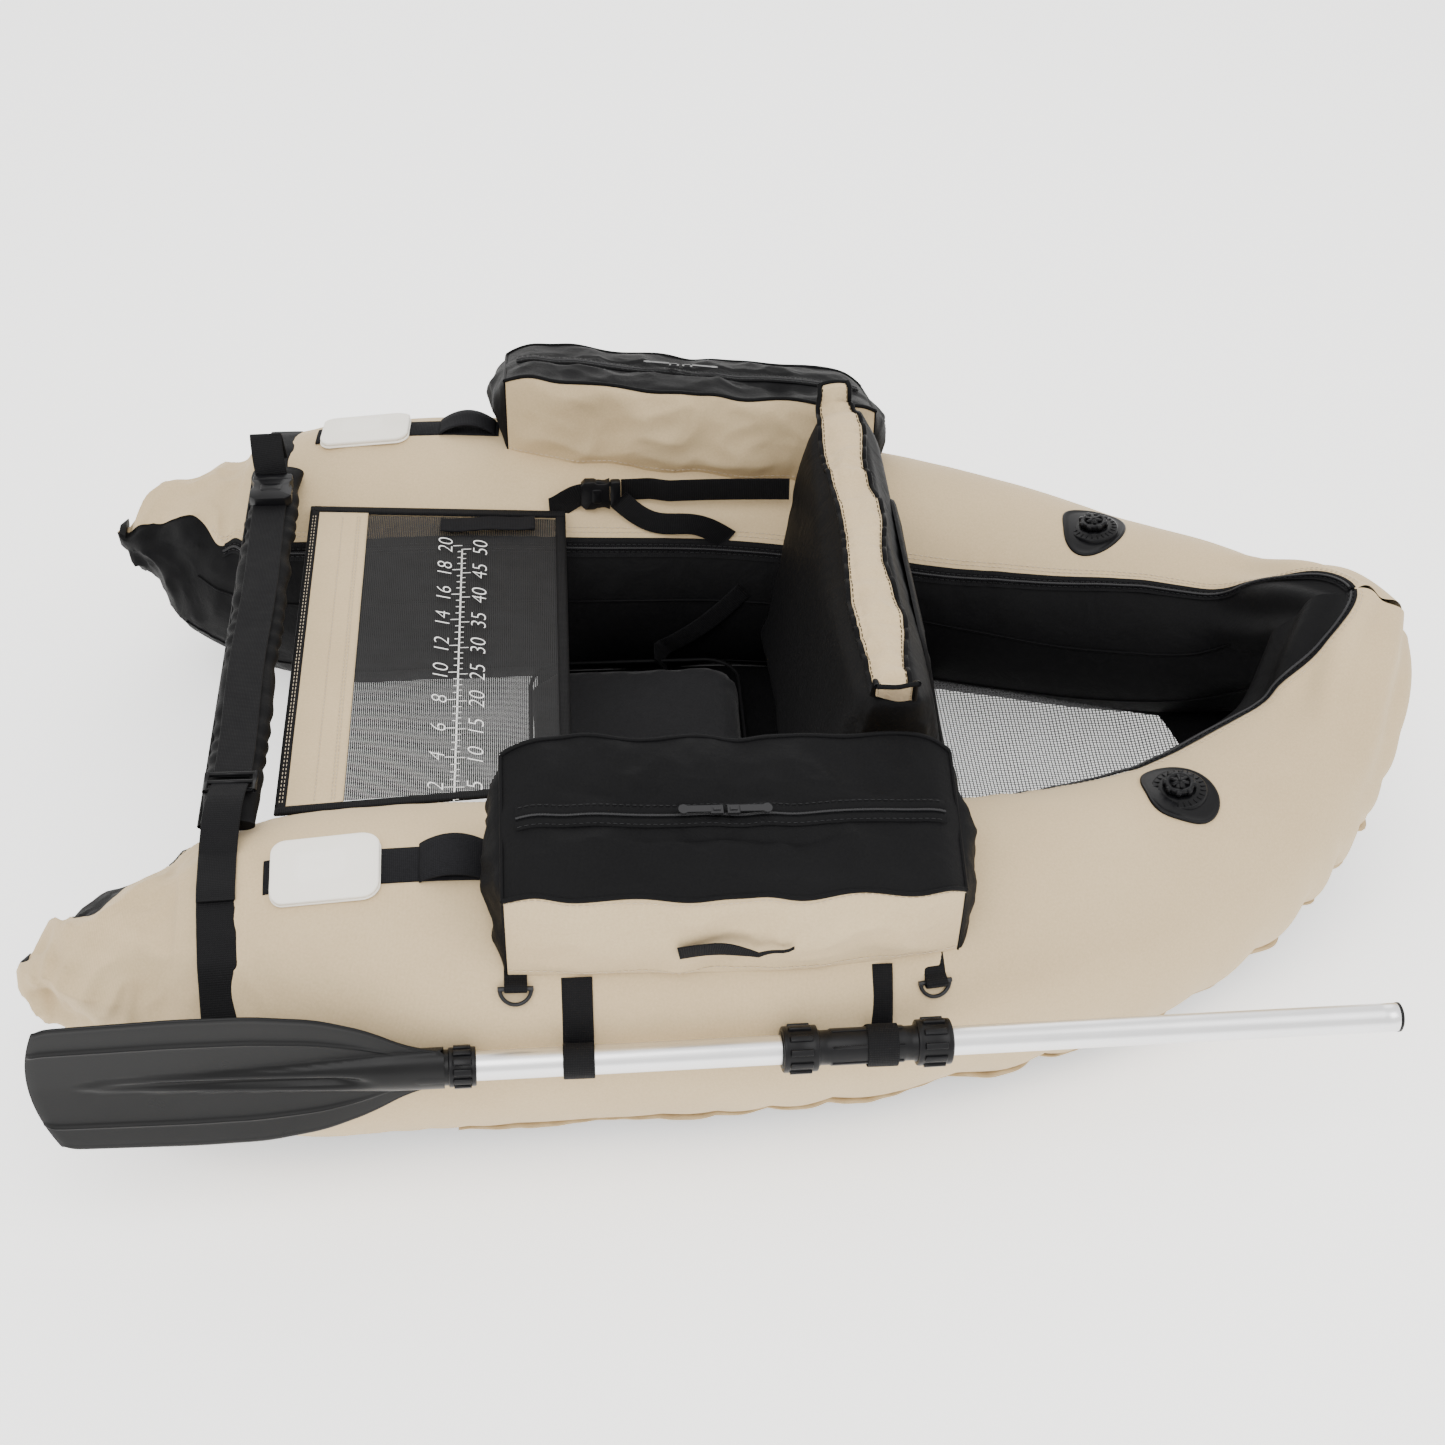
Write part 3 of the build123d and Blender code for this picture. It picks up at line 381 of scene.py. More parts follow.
def stitches(path, normal, length=0.0042, gap=0.0022, radius=0.00045, lift=0.0002):
    """Row of thread stitches lying on a path."""
    path, normal = np.asarray(path, float), np.broadcast_to(np.asarray(normal, float),
        np.shape(path))
    run = np.concatenate([[0], np.cumsum(np.linalg.norm(np.diff(path, axis=0), axis=1))])
    starts = np.arange(gap, run[-1] - length, length + gap)
    at = starts[:, None] + np.array((0.0, 0.25, 0.75, 1.0)) * length
    spot = np.stack([np.interp(at, run, path[:, k]) for k in range(3)], -1)
    out = unit(np.stack([np.interp(at, run, normal[:, k]) for k in range(3)], -1))
    along = unit(spot[:, -1:] - spot[:, :1])
    across = unit(np.cross(along, out))
    height = np.array((-0.4, 0.9, 0.9, -0.4)) * radius + lift
    middle = spot + out * height[None, :, None]
    ring = [(across, 0.0), (out, 1.0), (-across, 0.0), (-out, 1.0)]
    points = np.stack([middle + d * radius for d, k in ring], 2)
    n = len(starts)
    verts = points.reshape(-1, 3)
    faces = []
    for k in range(n):
        base = k * 16
        for i in range(3):
            for j in range(4):
                j2 = (j + 1) % 4
                faces.append([base + i * 4 + j, base + i * 4 + j2, base + i * 4 + 4 + j2, base
                        + i * 4 + 4 + j])
        faces.append([base + 3, base + 2, base + 1, base])
        faces.append([base + 12, base + 13, base + 14, base + 15])
    return verts, faces, np.zeros((sum(len(f) for f in faces), 2))


# ---- materials -------------------------------------------------------------
def add(tree, kind, inputs=(), **settings):
    """New shader node; an input is a value or a socket to link."""
    node = tree.nodes.new("ShaderNode" + kind)
    for key, value in settings.items():
        setattr(node, key, value)
    for key, value in dict(inputs).items():
        if isinstance(value, bpy.types.NodeSocket):
            tree.links.new(value, node.inputs[key])
        else:
            node.inputs[key].default_value = value
    return node


def shade(tree, factor, low, high):
    """Colour between two, by a 0 to 1 socket."""
    mix = add(tree, "Mix", {0: factor}, data_type="RGBA")
    mix.inputs[6].default_value = (*low, 1)
    mix.inputs[7].default_value = (*high, 1)
    return mix.outputs[2]


def remap(tree, value, low, high):
    """A 0 to 1 socket stretched to low..high."""
    return add(tree, "MapRange", {0: value, 3: low, 4: high}).outputs[0]


def surface(name, roughness, metallic=0.0, specular=0.5, sheen=0.0, coat=0.0):
    """New material, its node tree and its shader."""
    made = bpy.data.materials.new(name)
    made.use_nodes = True
    shader = made.node_tree.nodes["Principled BSDF"]
    shader.inputs["Roughness"].default_value = roughness
    shader.inputs["Metallic"].default_value = metallic
    shader.inputs["Specular IOR Level"].default_value = specular
    shader.inputs["Sheen Weight"].default_value = sheen
    shader.inputs["Sheen Roughness"].default_value = 0.4
    shader.inputs["Coat Weight"].default_value = coat
    return made, made.node_tree, shader


def weave_height(tree, where, period):
    """Over-and-under thread height from 0 to 1."""
    scale = 0.314 / period
    warp = add(tree, "TexWave", {"Vector": where, "Scale": scale},
        bands_direction="X").outputs["Fac"]
    weft = add(tree, "TexWave", {"Vector": where, "Scale": scale},
        bands_direction="Y").outputs["Fac"]
    return add(tree, "Math", {0: warp, 1: weft}, operation="MULTIPLY").outputs[0]


def cloth(name, dark, light, period=0.0011, weave=0.0002, crease=0.0012, crease_size=0.05,
          roughness=0.75, specular=0.3, sheen=0.1, coords="UV"):
    """Woven fabric: threads, soft creases and uneven colour."""
    made, tree, shader = surface(name, roughness, specular=specular, sheen=sheen)
    spot = add(tree, "TexCoord").outputs
    thread = weave_height(tree, spot[coords], period)
    broad = add(tree, "TexNoise", {"Vector": spot["Object"], "Scale": 5.0,
            "Detail": 3.0}).outputs["Fac"]
    fine = add(tree, "TexNoise", {"Vector": spot["Object"], "Scale": 420.0,
            "Detail": 2.0}).outputs["Fac"]
    fold = add(tree, "TexNoise", {"Vector": spot["Object"], "Scale": 1 / crease_size,
            "Detail": 4.0, "Roughness": 0.55, "Distortion": 0.6}).outputs["Fac"]
    tone = add(tree, "Math", {0: broad, 1: fine}, operation="ADD")
    tone = add(tree, "Math", {0: tone.outputs[0], 1: thread}, operation="ADD").outputs[0]
    tone = add(tree, "MapRange", {0: tone, 1: 0.7, 2: 1.9}).outputs[0]
    tree.links.new(shade(tree, tone, dark, light), shader.inputs["Base Color"])
    tree.links.new(remap(tree, fine, roughness - 0.08, min(roughness + 0.08, 1.0)),
        shader.inputs["Roughness"])
    first = add(tree, "Bump", {"Height": fold, "Strength": 0.6, "Distance": crease})
    second = add(tree, "Bump", {"Height": thread, "Strength": 0.5, "Distance": weave,
            "Normal": first.outputs[0]})
    tree.links.new(second.outputs[0], shader.inputs["Normal"])
    return made


def strap_cloth(name, dark, light, rib=0.0022):
    """Webbing: ribs across its length and a fine edge cord."""
    made, tree, shader = surface(name, 0.7, specular=0.15)
    spot = add(tree, "TexCoord").outputs
    ribs = add(tree, "TexWave", {"Vector": spot["UV"], "Scale": 0.314 / rib,
            "Distortion": 0.3}, bands_direction="X").outputs["Fac"]
    threads = add(tree, "TexWave", {"Vector": spot["UV"], "Scale": 0.314 / 0.0016},
        bands_direction="Y").outputs["Fac"]
    height = add(tree, "Math", {0: ribs, 1: threads}, operation="MULTIPLY").outputs[0]
    wear = add(tree, "TexNoise", {"Vector": spot["Object"], "Scale": 60.0,
            "Detail": 4.0}).outputs["Fac"]
    tone = add(tree, "Math", {0: height, 1: wear}, operation="MULTIPLY").outputs[0]
    tree.links.new(shade(tree, tone, dark, light), shader.inputs["Base Color"])
    tree.links.new(remap(tree, wear, 0.6, 0.85), shader.inputs["Roughness"])
    bump = add(tree, "Bump", {"Height": height, "Strength": 0.7, "Distance": 0.0006})
    tree.links.new(bump.outputs[0], shader.inputs["Normal"])
    return made


def moulded(name, dark, light, roughness=0.4, grain=0.00012, specular=0.5, metallic=0.0,
    coords="Object"):
    """Moulded or painted surface: fine grain, worn lighter edges."""
    made, tree, shader = surface(name, roughness, metallic=metallic, specular=specular)
    spot = add(tree, "TexCoord").outputs
    fine = add(tree, "TexNoise", {"Vector": spot[coords], "Scale": 900.0,
            "Detail": 2.0}).outputs["Fac"]
    broad = add(tree, "TexNoise", {"Vector": spot[coords], "Scale": 18.0,
            "Detail": 5.0}).outputs["Fac"]
    edge = add(tree, "NewGeometry").outputs["Pointiness"]
    edge = add(tree, "MapRange", {0: edge, 1: 0.52, 2: 0.62}).outputs[0]
    tone = add(tree, "Math", {0: broad, 1: edge}, operation="ADD").outputs[0]
    tree.links.new(shade(tree, remap(tree, tone, 0.0, 0.7), dark, light),
        shader.inputs["Base Color"])
    tree.links.new(remap(tree, broad, roughness - 0.12, roughness + 0.12),
        shader.inputs["Roughness"])
    bump = add(tree, "Bump", {"Height": fine, "Strength": 0.4, "Distance": grain})
    tree.links.new(bump.outputs[0], shader.inputs["Normal"])
    return made


def brushed(name, colour):
    """Drawn aluminium: streaks along the tube."""
    made, tree, shader = surface(name, 0.28, metallic=1.0)
    spot = add(tree, "TexCoord").outputs
    stretch = add(tree, "Mapping", {"Vector": spot["UV"], "Scale": (3.0, 900.0, 1.0)}).outputs[0]
    streak = add(tree, "TexNoise", {"Vector": stretch, "Scale": 1.0, "Detail": 4.0}).outputs["Fac"]
    dirt = add(tree, "TexNoise", {"Vector": spot["Object"], "Scale": 25.0,
            "Detail": 5.0}).outputs["Fac"]
    tree.links.new(shade(tree, dirt, tuple(c * 0.86 for c in colour), colour),
        shader.inputs["Base Color"])
    tree.links.new(remap(tree, streak, 0.2, 0.42), shader.inputs["Roughness"])
    bump = add(tree, "Bump", {"Height": streak, "Strength": 0.15, "Distance": 0.0001})
    tree.links.new(bump.outputs[0], shader.inputs["Normal"])
    return made


def netting(name, thread, colour, period=0.0024, open_share=0.5):
    """Open mesh: threads both ways with holes between."""
    made, tree, shader = surface(name, 0.7, specular=0.3)
    spot = add(tree, "TexCoord").outputs
    scale = 0.314 / period
    both = []
    for direction in ("X", "Y"):
        wave = add(tree, "TexWave", {"Vector": spot["UV"], "Scale": scale},
            bands_direction=direction).outputs["Fac"]
        both.append(wave)
    thread_map = add(tree, "Math", {0: both[0], 1: both[1]}, operation="MAXIMUM").outputs[0]
    wear = add(tree, "TexNoise", {"Vector": spot["Object"], "Scale": 40.0,
            "Detail": 3.0}).outputs["Fac"]
    tree.links.new(shade(tree, wear, thread, colour), shader.inputs["Base Color"])
    solid = add(tree, "Math", {0: thread_map, 1: open_share}, operation="GREATER_THAN").outputs[0]
    tree.links.new(solid, shader.inputs["Alpha"])
    bump = add(tree, "Bump", {"Height": thread_map, "Strength": 0.5, "Distance": 0.0004})
    tree.links.new(bump.outputs[0], shader.inputs["Normal"])
    return made


TAN = cloth("tan_oxford", (0.46, 0.345, 0.195), (0.61, 0.475, 0.285), crease=0.0016,
    crease_size=0.07)
TAN_PUCKERED = cloth("tan_gathered", (0.46, 0.345, 0.195), (0.61, 0.475, 0.285), crease=0.005,
    crease_size=0.022)
BLACK = cloth("black_oxford", (0.0022, 0.0022, 0.0026), (0.0065, 0.0065, 0.007), crease=0.0045,
    crease_size=0.05, roughness=0.58, specular=0.07, sheen=0.0)
CHARCOAL = cloth("charcoal_cushion", (0.010, 0.010, 0.011), (0.024, 0.024, 0.026),
    crease=0.002, crease_size=0.05, roughness=0.8, specular=0.12, coords="Object")
WEB = strap_cloth("black_webbing", (0.002, 0.002, 0.0025), (0.014, 0.014, 0.016))
HOOK = cloth("hook_and_loop", (0.004, 0.004, 0.0045), (0.015, 0.015, 0.017), period=0.0019,
    weave=0.0006, roughness=0.85, specular=0.08, sheen=0.0)
PLASTIC = moulded("black_plastic", (0.0025, 0.0025, 0.003), (0.008, 0.008, 0.009),
    roughness=0.34, specular=0.16)
BLADE_PLASTIC = moulded("blade_plastic", (0.0025, 0.0025, 0.0027), (0.007, 0.0071, 0.0076),
    roughness=0.32, grain=0.0002, specular=0.17)
RUBBER = moulded("valve_rubber", (0.002, 0.002, 0.0024), (0.007, 0.007, 0.008), roughness=0.32,
    specular=0.13)
METAL = moulded("black_metal", (0.010, 0.010, 0.011), (0.035, 0.035, 0.037), roughness=0.32,
    specular=0.3, metallic=0.5)
COIL = moulded("zipper_coil", (0.004, 0.004, 0.005), (0.016, 0.016, 0.018), roughness=0.35,
    specular=0.3)
FOAM = moulded("white_foam", (0.86, 0.82, 0.74), (0.95, 0.92, 0.85), roughness=0.85,
    grain=0.0004, specular=0.2)
THREAD = moulded("tan_thread", (0.50, 0.41, 0.29), (0.68, 0.58, 0.43), roughness=0.8)
ALUMINIUM = brushed("drawn_aluminium", (0.88, 0.88, 0.89))
NET = netting("floor_netting", (0.06, 0.06, 0.062), (0.13, 0.13, 0.135), period=0.0042,
    open_share=0.72)
APRON_NET = netting("apron_netting", (0.003, 0.003, 0.0032), (0.010, 0.010, 0.011),
    period=0.0021, open_share=0.36)
PRINT = moulded("white_print", (0.62, 0.62, 0.60), (0.80, 0.80, 0.78), roughness=0.7)

# ---- hull covers -----------------------------------------------------------
OUTER_EDGE = 138.0
INNER_EDGE = -51.0
TAIL_CAP = 0.013
FABRIC_LIFT = 0.0012


def inner_edge(s, side):
    """Angle of the top fabric's inner edge; it climbs at the tail."""
    notch = 44.0 * np.exp(-((s - 0.052) / 0.026) ** 2) if side == LEFT else 16.0 * np.exp(-((s
                - 0.05) / 0.05) ** 2)
    wavy = 4.0 * np.sin(s * 95.0) * (1 - smooth_step(0.10, 0.22, s))
    apex = 20.0 * smooth_step(0.95, 1.38, s) + 36.0 * smooth_step(1.46, 1.585, s)
    return INNER_EDGE + notch + wavy + apex


def folds(s, seed):
    """Rounded folds with sharp valleys, unevenly spaced along a gathered seam."""
    phase = s / 0.064 + 0.55 * np.sin(s * 7.3 + seed) + 0.35 * np.sin(s * 17.9 + 2 * seed)
    height = np.abs(np.sin(pi * phase)) - 0.55
    return height * (0.65 + 0.5 * np.sin(s * 11.0 + 1.7 * seed))


def cover_shape(s, angle, lift, side):
    """Wrinkled skin of a tube; s below 0 closes the tail."""
    cap = np.sqrt(np.clip(1 - (np.minimum(s, 0) / TAIL_CAP) ** 2, 0, 1))
    points, out = skin(np.maximum(s, 0), angle, lift)
    centre, _, along, _, _ = frames(np.maximum(s, 0).ravel())
    centre = centre.reshape(points.shape)
    points = centre + (points - centre) * cap[...,
        None] + along.reshape(points.shape) * np.minimum(s, 0)[..., None]
    seed = 3.0 if side == LEFT else 8.0
    near_plane = smooth_step(0.0, 0.09, points[..., 1])
    bow = smooth_step(0.72, 1.15, s)
    seam_gap = np.abs(angle - OUTER_EDGE)
    gathered = np.exp(-((seam_gap / 25.0) ** 1.4)) * (0.25 + 0.75 * bow) * (0.35 + 0.65
        * near_plane)
    gathered = gathered * smooth_step(0.28, 0.5, s)
    drop = (0.017 + 0.010 * bow) * gathered * folds(s, seed)
    tail = np.exp(-np.maximum(s, 0) / 0.085)
    crumple = 0.026 * tail * (creases(points, 0.07, seed)
        - 0.5) + 0.011 * tail * (creases(points, 0.03, seed + 4) - 0.5)
    inner = np.exp(-((angle - INNER_EDGE) / 16.0) ** 2)
    zip_pull = 0.0011 * inner * np.sin(s * 2 * pi / 0.052 + 2.1 * np.sin(s * 17)) * (0.4 + 0.6
        * bow) * (0.5 + 0.5 * np.sin(s * 29 + seed))
    nose = smooth_step(1.33, 1.52, s)
    nose_folds = 0.0045 * nose * np.sin(np.radians(angle) * 9 + 1.2
        * np.sin(s * 30)) * smooth_step(-60, -10, angle)
    soft = 0.0016 * wobble(points, 0.16, seed) * near_plane + 0.0006 * wobble(points, 0.045,
        seed + 2) * near_plane
    lifted = points + out * (drop + crumple + zip_pull + nose_folds + soft)[...,
        None] * cap[..., None]
    lifted[..., 2] = np.maximum(lifted[..., 2], 0.0002)
    return lifted


def halved(piece, side):
    """Cut a hull piece at the plane of symmetry."""
    work = bmesh.new()
    work.from_mesh(piece.data)
    every = work.verts[:] + work.edges[:] + work.faces[:]
    bmesh.ops.bisect_plane(work, geom=every, plane_co=SHIFT, plane_no=(0, side, 0),
        clear_inner=True, dist=1e-5)
    work.to_mesh(piece.data)
    work.free()
    return piece


def hull_cover(name, side, material, start, end, rows, columns, lift):
    """One fabric panel of a tube, between two angles that may vary along it."""
    s = np.linspace(-TAIL_CAP, SPINE_END, rows)[:, None]
    share = np.linspace(0, 1, columns)[None, :]
    angle = start(s) + (end(s) - start(s)) * share
    s = np.broadcast_to(s, angle.shape)
    points = cover_shape(s, angle, lift, side)
    uv = np.stack([s, np.radians(angle) * TUBE_RADIUS], -1)
    part = sheet_mesh(points, uv, flip=True)
    piece = build(name, *sided(part, side)[:2], material, "hull", sided(part, side)[2])
    return halved(piece, side)


def seam_path(side, angle, lift, first=0.10, last=None, step=0.004):
    """Points and outward directions along a tube at an angle or angle function."""
    s = np.arange(first, SPINE_END if last is None else last, step)
    angles = angle(s) if callable(angle) else np.full_like(s, angle)
    points = cover_shape(s[:, None], angles[:, None], lift, side)[:, 0]
    out = skin(s, angles)[1]
    keep = points[:, 1] > 0.001
    points, out = points[keep], out[keep]
    if side == LEFT:
        points, out = points * (1, -1, 1), out * (1, -1, 1)
    return points, out


def hull():
    """Both tubes: covers, stitching, seams, lower hem and tail ends."""
    for label, side in (("left", LEFT), ("right", RIGHT)):
        top = hull_cover(
            label + "_top_fabric", side, TAN, lambda s: inner_edge(s, side),
                lambda s: OUTER_EDGE + 0 * s, 430, 120, FABRIC_LIFT
        )
        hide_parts(label + "_cover_top")
        base = hull_cover(
            label + "_base_fabric", side, BLACK, lambda s: OUTER_EDGE - 3.0 + 0 * s,
            lambda s: 360 + inner_edge(s, side) + 3.0, 330, 100, -0.0004,
        )
        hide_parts(label + "_cover_base")
        rows = []
        for offset in (3.5, 5.5):
            rows.append(stitches(*seam_path(side, lambda s: inner_edge(s, side) + offset,
                        FABRIC_LIFT)))
        build(label + "_top_stitching", *joined(*rows)[:2], THREAD, "hull")
        seams = []
        for angle, size in ((-78.0, 0.0014), (-118.0, 0.0012), (150.0, 0.0014)):
            path, _ = seam_path(side, angle, 0.0003)
            seams.append(pipe(path, size, 6))
        build(label + "_base_seams", *joined(*seams)[:2], BLACK, "hull")
        hem(label, side)


def hem(label, side):
    """Loose edge of the gathered lower seam, wavy where the cloth is eased in."""
    s = np.arange(0.42, SPINE_END, 0.0035)
    root = cover_shape(s[:, None], np.full((len(s), 1), OUTER_EDGE), FABRIC_LIFT, side)[:, 0]
    out = skin(s, OUTER_EDGE)[1]
    along = frames(s)[2]
    down = unit(np.cross(out, along))
    wave = 0.0035 * np.sin(s * 2 * pi / 0.031 + 1.4 * np.sin(s * 23)) * (0.4 + 0.6
        * smooth_step(0.7, 1.1, s))
    width = 0.006 + 0.002 * np.sin(s * 41)
    keep = root[:, 1] > 0.0
    rows = []
    for share in (0.0, 0.5, 1.0):
        rows.append(root + (out * 0.8 - down * 0.5) * (width * share)[:, None] + down
            * (wave * share)[:, None])
    points = np.stack(rows, 1)[keep]
    points[..., 2] = np.maximum(points[..., 2], 0.0003)
    if side == LEFT:
        points = points * (1, -1, 1)
    piece = build_sheet(label + "_lower_hem", sheet_mesh(points), TAN, "hull")
    finish_edges(piece, thickness=0.0011)


def coil(path, radius=0.0019, pitch=0.0026):
    """Zipper coil: a bead that swells at each turn."""
    path = np.asarray(path, float)
    run = np.concatenate([[0], np.cumsum(np.linalg.norm(np.diff(path, axis=0), axis=1))])
    at = np.arange(0, run[-1], pitch / 3)
    points = np.stack([np.interp(at, run, path[:, k]) for k in range(3)], -1)
    size = radius * (0.86 + 0.14 * np.cos(at * 2 * pi / pitch))
    return pipe(points, size, 7)


def hull_zipper():
    """Long coil zipper under the inner edge of both tubes."""
    tapes, coils = [], []
    for side in (LEFT, RIGHT):
        s = np.arange(0.125, SPINE_END, 0.004)
        edge = inner_edge(s, side)
        for low, high, lift in ((-1.0, 1.2, 0.0022), (-7.2, -0.6, 0.0014)):
            columns = [cover_shape(s[:, None], (edge + a)[:, None], lift, side)[:, 0]
                for a in np.linspace(low, high, 4)]
            points = np.stack(columns, 1)
            points = points[points[:, :, 1].min(1) > 0.0005]
            tapes.append(sided(sheet_mesh(points, flip=True), side))
        path, out = seam_path(side, lambda s: inner_edge(s, side) - 3.4, 0.003, first=0.125)
        coils.append(coil(path))
        for offset in (-1.8, -5.0):
            path, out = seam_path(side, lambda s: inner_edge(s, side) + offset, 0.0018, first=0.125)
            coils.append(stitches(path, out))
    piece = build("hull_zip_tape", *joined(*tapes)[:2], WEB, "hull", joined(*tapes)[2])
    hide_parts("hull_zipper")
    build("hull_zip_coil", *joined(*coils)[:2], COIL, "hull")


def bladders():
    """Air bladders inside the covers."""
    halves = []
    for side in (LEFT, RIGHT):
        s = np.linspace(0.03, SPINE_END - 0.05, 90)[:, None]
        angle = np.linspace(0, 360, 33)[None, :-1]
        inside = skin(s, angle, -0.03)[0]
        inside[..., 2] = np.maximum(inside[..., 2], 0.004)
        halves.append(sided(sheet_mesh(inside, loop_columns=True, flip=True), side))
    piece = build("air_bladders", *joined(*halves)[:2], RUBBER, "hull", joined(*halves)[2])
    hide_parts("bladders")


# ---- bags ------------------------------------------------------------------
BAG_START, BAG_END = -0.238, 0.200
BAG_WIDTH, BAG_INSET, BAG_HEIGHT, BAG_DROP = 0.170, 0.031, 0.108, 0.052
BAG_SEAM_ANGLE = 50.0


def tube_at(x):
    """Centre Y and Z and radius of the right tube at X."""
    trial = np.linspace(0, SPINE_END, 600)
    here = hermite(trial)
    return [np.interp(x, here[:, 0], here[:, k]) for k in (1, 2, 3)]


def surface_z(x, y):
    """Height of the right tube's upper surface over a floor point."""
    centre_y, centre_z, radius = tube_at(x)
    return centre_z + np.sqrt(np.maximum(radius ** 2 - (y - centre_y) ** 2, 0))


def gap_half_width(x, z):
    """Half the free width between the tubes at X and height Z."""
    y, centre_z, radius = tube_at(x)
    return y - np.sqrt(np.maximum(radius ** 2 - (z - centre_z) ** 2, 0))


def bag_rims(x):
    """Inner and outer top edge of a bag at X."""
    share = (x - BAG_START) / (BAG_END - BAG_START)
    ends = [tube_at(at) for at in (BAG_START, BAG_END)]
    y = ends[0][0] + (ends[1][0] - ends[0][0]) * share - BAG_INSET
    crest = [end[1] + end[2] for end in ends]
    top = crest[0] + (crest[1] - crest[0]) * share + BAG_HEIGHT
    corner = np.abs(2 * share - 1) ** 12
    sag = 0.004 * np.sin(pi * share) ** 2 + 0.013 * corner - 0.0010 * np.sin(x * 83 + 1.3
        * np.sin(x * 31))
    rim = 0.0030 * np.sin(x * 61 + 2.0)
    return (
        np.stack([x, y + 0.010 * corner + rim, top - sag], -1),
        np.stack([x, y + BAG_WIDTH - 0.012 * corner - rim, top - BAG_DROP - sag], -1),
    )


def pillow(low, high, bulge, rows, seed, wrinkle=0.003, size=0.07, toward=None, edge=6.0):
    """Cloth panel between two edge curves, bulging and creased inside its seams."""
    v = np.linspace(0, 1, rows)
    points = low[:, None] + (high - low)[:, None] * v[None, :, None]
    u = np.linspace(0, 1, len(low))
    across = np.gradient(points, axis=1)
    along = np.gradient(points, axis=0)
    out = unit(np.cross(along, across))
    if toward is not None and (out.mean((0, 1)) @ np.asarray(toward)) < 0:
        out = -out
    mask = (1 - np.abs(2 * u - 1) ** edge)[:, None] * (1 - np.abs(2 * v - 1) ** edge)[None]
    lump = bulge * np.sin(pi * u)[:, None] ** 0.6 * np.sin(pi * v)[None] ** 0.6
    folded = wrinkle * (creases(points, size, seed)
        - 0.5) + 0.4 * wrinkle * (creases(points, size * 0.4, seed + 3) - 0.5)
    return points + out * (lump + folded * mask)[..., None], out


def bag(label, side):
    """One bag: tan long sides, black ends and zipped top, piped edges."""
    seed = 11.0 if side == LEFT else 23.0
    x = np.linspace(BAG_START, BAG_END, 90)
    inner, outer = bag_rims(x)
    s = np.array([distance_at(at, BAG_SEAM_ANGLE) for at in x])
    outer_foot = skin(s, np.full(len(s), BAG_SEAM_ANGLE), 0.001)[0]
    inner_foot = np.stack([x, inner[:, 1], surface_z(x, inner[:, 1]) - 0.004], -1)
    tan, black, threads, welts = [], [], [], []
    tan_outer, out = pillow(outer_foot, outer, 0.013, 34, seed, 0.0075, 0.08, (0, 1, 0.3))
    tan_inner, in_out = pillow(inner_foot, inner, 0.012, 34, seed + 1, 0.0065, 0.09, (0, -1, 0))
    tan += [sheet_mesh(tan_outer, flip=True), sheet_mesh(tan_inner)]
    for end, sign in ((0, -1.0), (-1, 1.0)):
        y = np.linspace(inner[end, 1], outer[end, 1], 40)
        foot_z = np.minimum(surface_z(np.full(40, x[end]), y), inner[end, 2] - 0.02) - 0.003
        foot_z[-1] = outer_foot[end, 2]
        low = np.stack([np.full(40, x[end]),
                np.linspace(inner[end, 1], outer_foot[end, 1], 40), foot_z], -1)
        high = inner[end] + (outer[end] - inner[end]) * np.linspace(0, 1, 40)[:, None]
        wall, _ = pillow(low, high, 0.020, 24, seed + 2 + sign, 0.008, 0.06, (sign, 0, 0))
        black.append(sheet_mesh(wall, flip=sign > 0))
        welts += [pipe(high, 0.0022, 6), pipe(low, 0.0018, 6)]
        welts += [pipe(np.linspace(low[k], high[k], 20), 0.0013, 6) for k in (0, -1)]
    v = np.linspace(0, 1, 44)
    lid = inner[:, None] + (outer - inner)[:, None] * v[None, :, None]
    u = np.linspace(0, 1, len(x))
    crown = 0.0062 * (np.sin(pi * u)[:, None] ** 0.5) * (np.sin(pi * v)[None] ** 0.5)
    off_zip = smooth_step(0.05, 0.16, np.abs(v - 0.5))[None]
    rumple = 0.0085 * (creases(lid * (1, 0.6, 1), 0.085, seed + 6)
        - 0.5) + 0.0030 * (creases(lid, 0.035, seed + 9) - 0.5)
    edge_fade = (1 - np.abs(2 * u - 1) ** 8)[:, None] * (1 - np.abs(2 * v - 1) ** 6)[None]
    lid[..., 2] += np.where(off_zip < 1, np.minimum(crown, 0.0030),
        crown) * off_zip + 0.0024 * (1 - off_zip) + rumple * off_zip * edge_fade
    black.append(sheet_mesh(lid, flip=True))
    welts += [pipe(inner + (0, 0, 0.0006), 0.0024, 6), pipe(outer + (0, 0, 0.0006), 0.0024, 6)]
    row = int(0.10 * 34)
    threads += [stitches(tan_outer[:, row], out[:, row], lift=0.0004),
        stitches(tan_inner[:, row], in_out[:, row], lift=0.0004)]
    threads.append(stitches(tan_outer[:, 32], out[:, 32], lift=0.0004))
    pieces = (
        ("bag_side_panels", tan, TAN, "tan_fabric", ["bag_body"]),
            ("bag_top_and_ends", black, BLACK, "black_fabric", ["bag_lid"]),
        ("bag_piping", welts, BLACK, "black_fabric", []),
            ("bag_stitching", threads, THREAD, "tan_fabric", []),
    )
    for name, parts, material, slot_name, stands_for in pieces:
        verts, faces, uvs = sided(joined(*parts), side)
        piece = build(label + "_" + name, verts, faces, material, "hull", uvs)
        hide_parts(*[label + "_" + node for node in stands_for])
    bag_zip(label, side, inner, outer, seed)
    bag_pull(label, side, tan_outer, out)


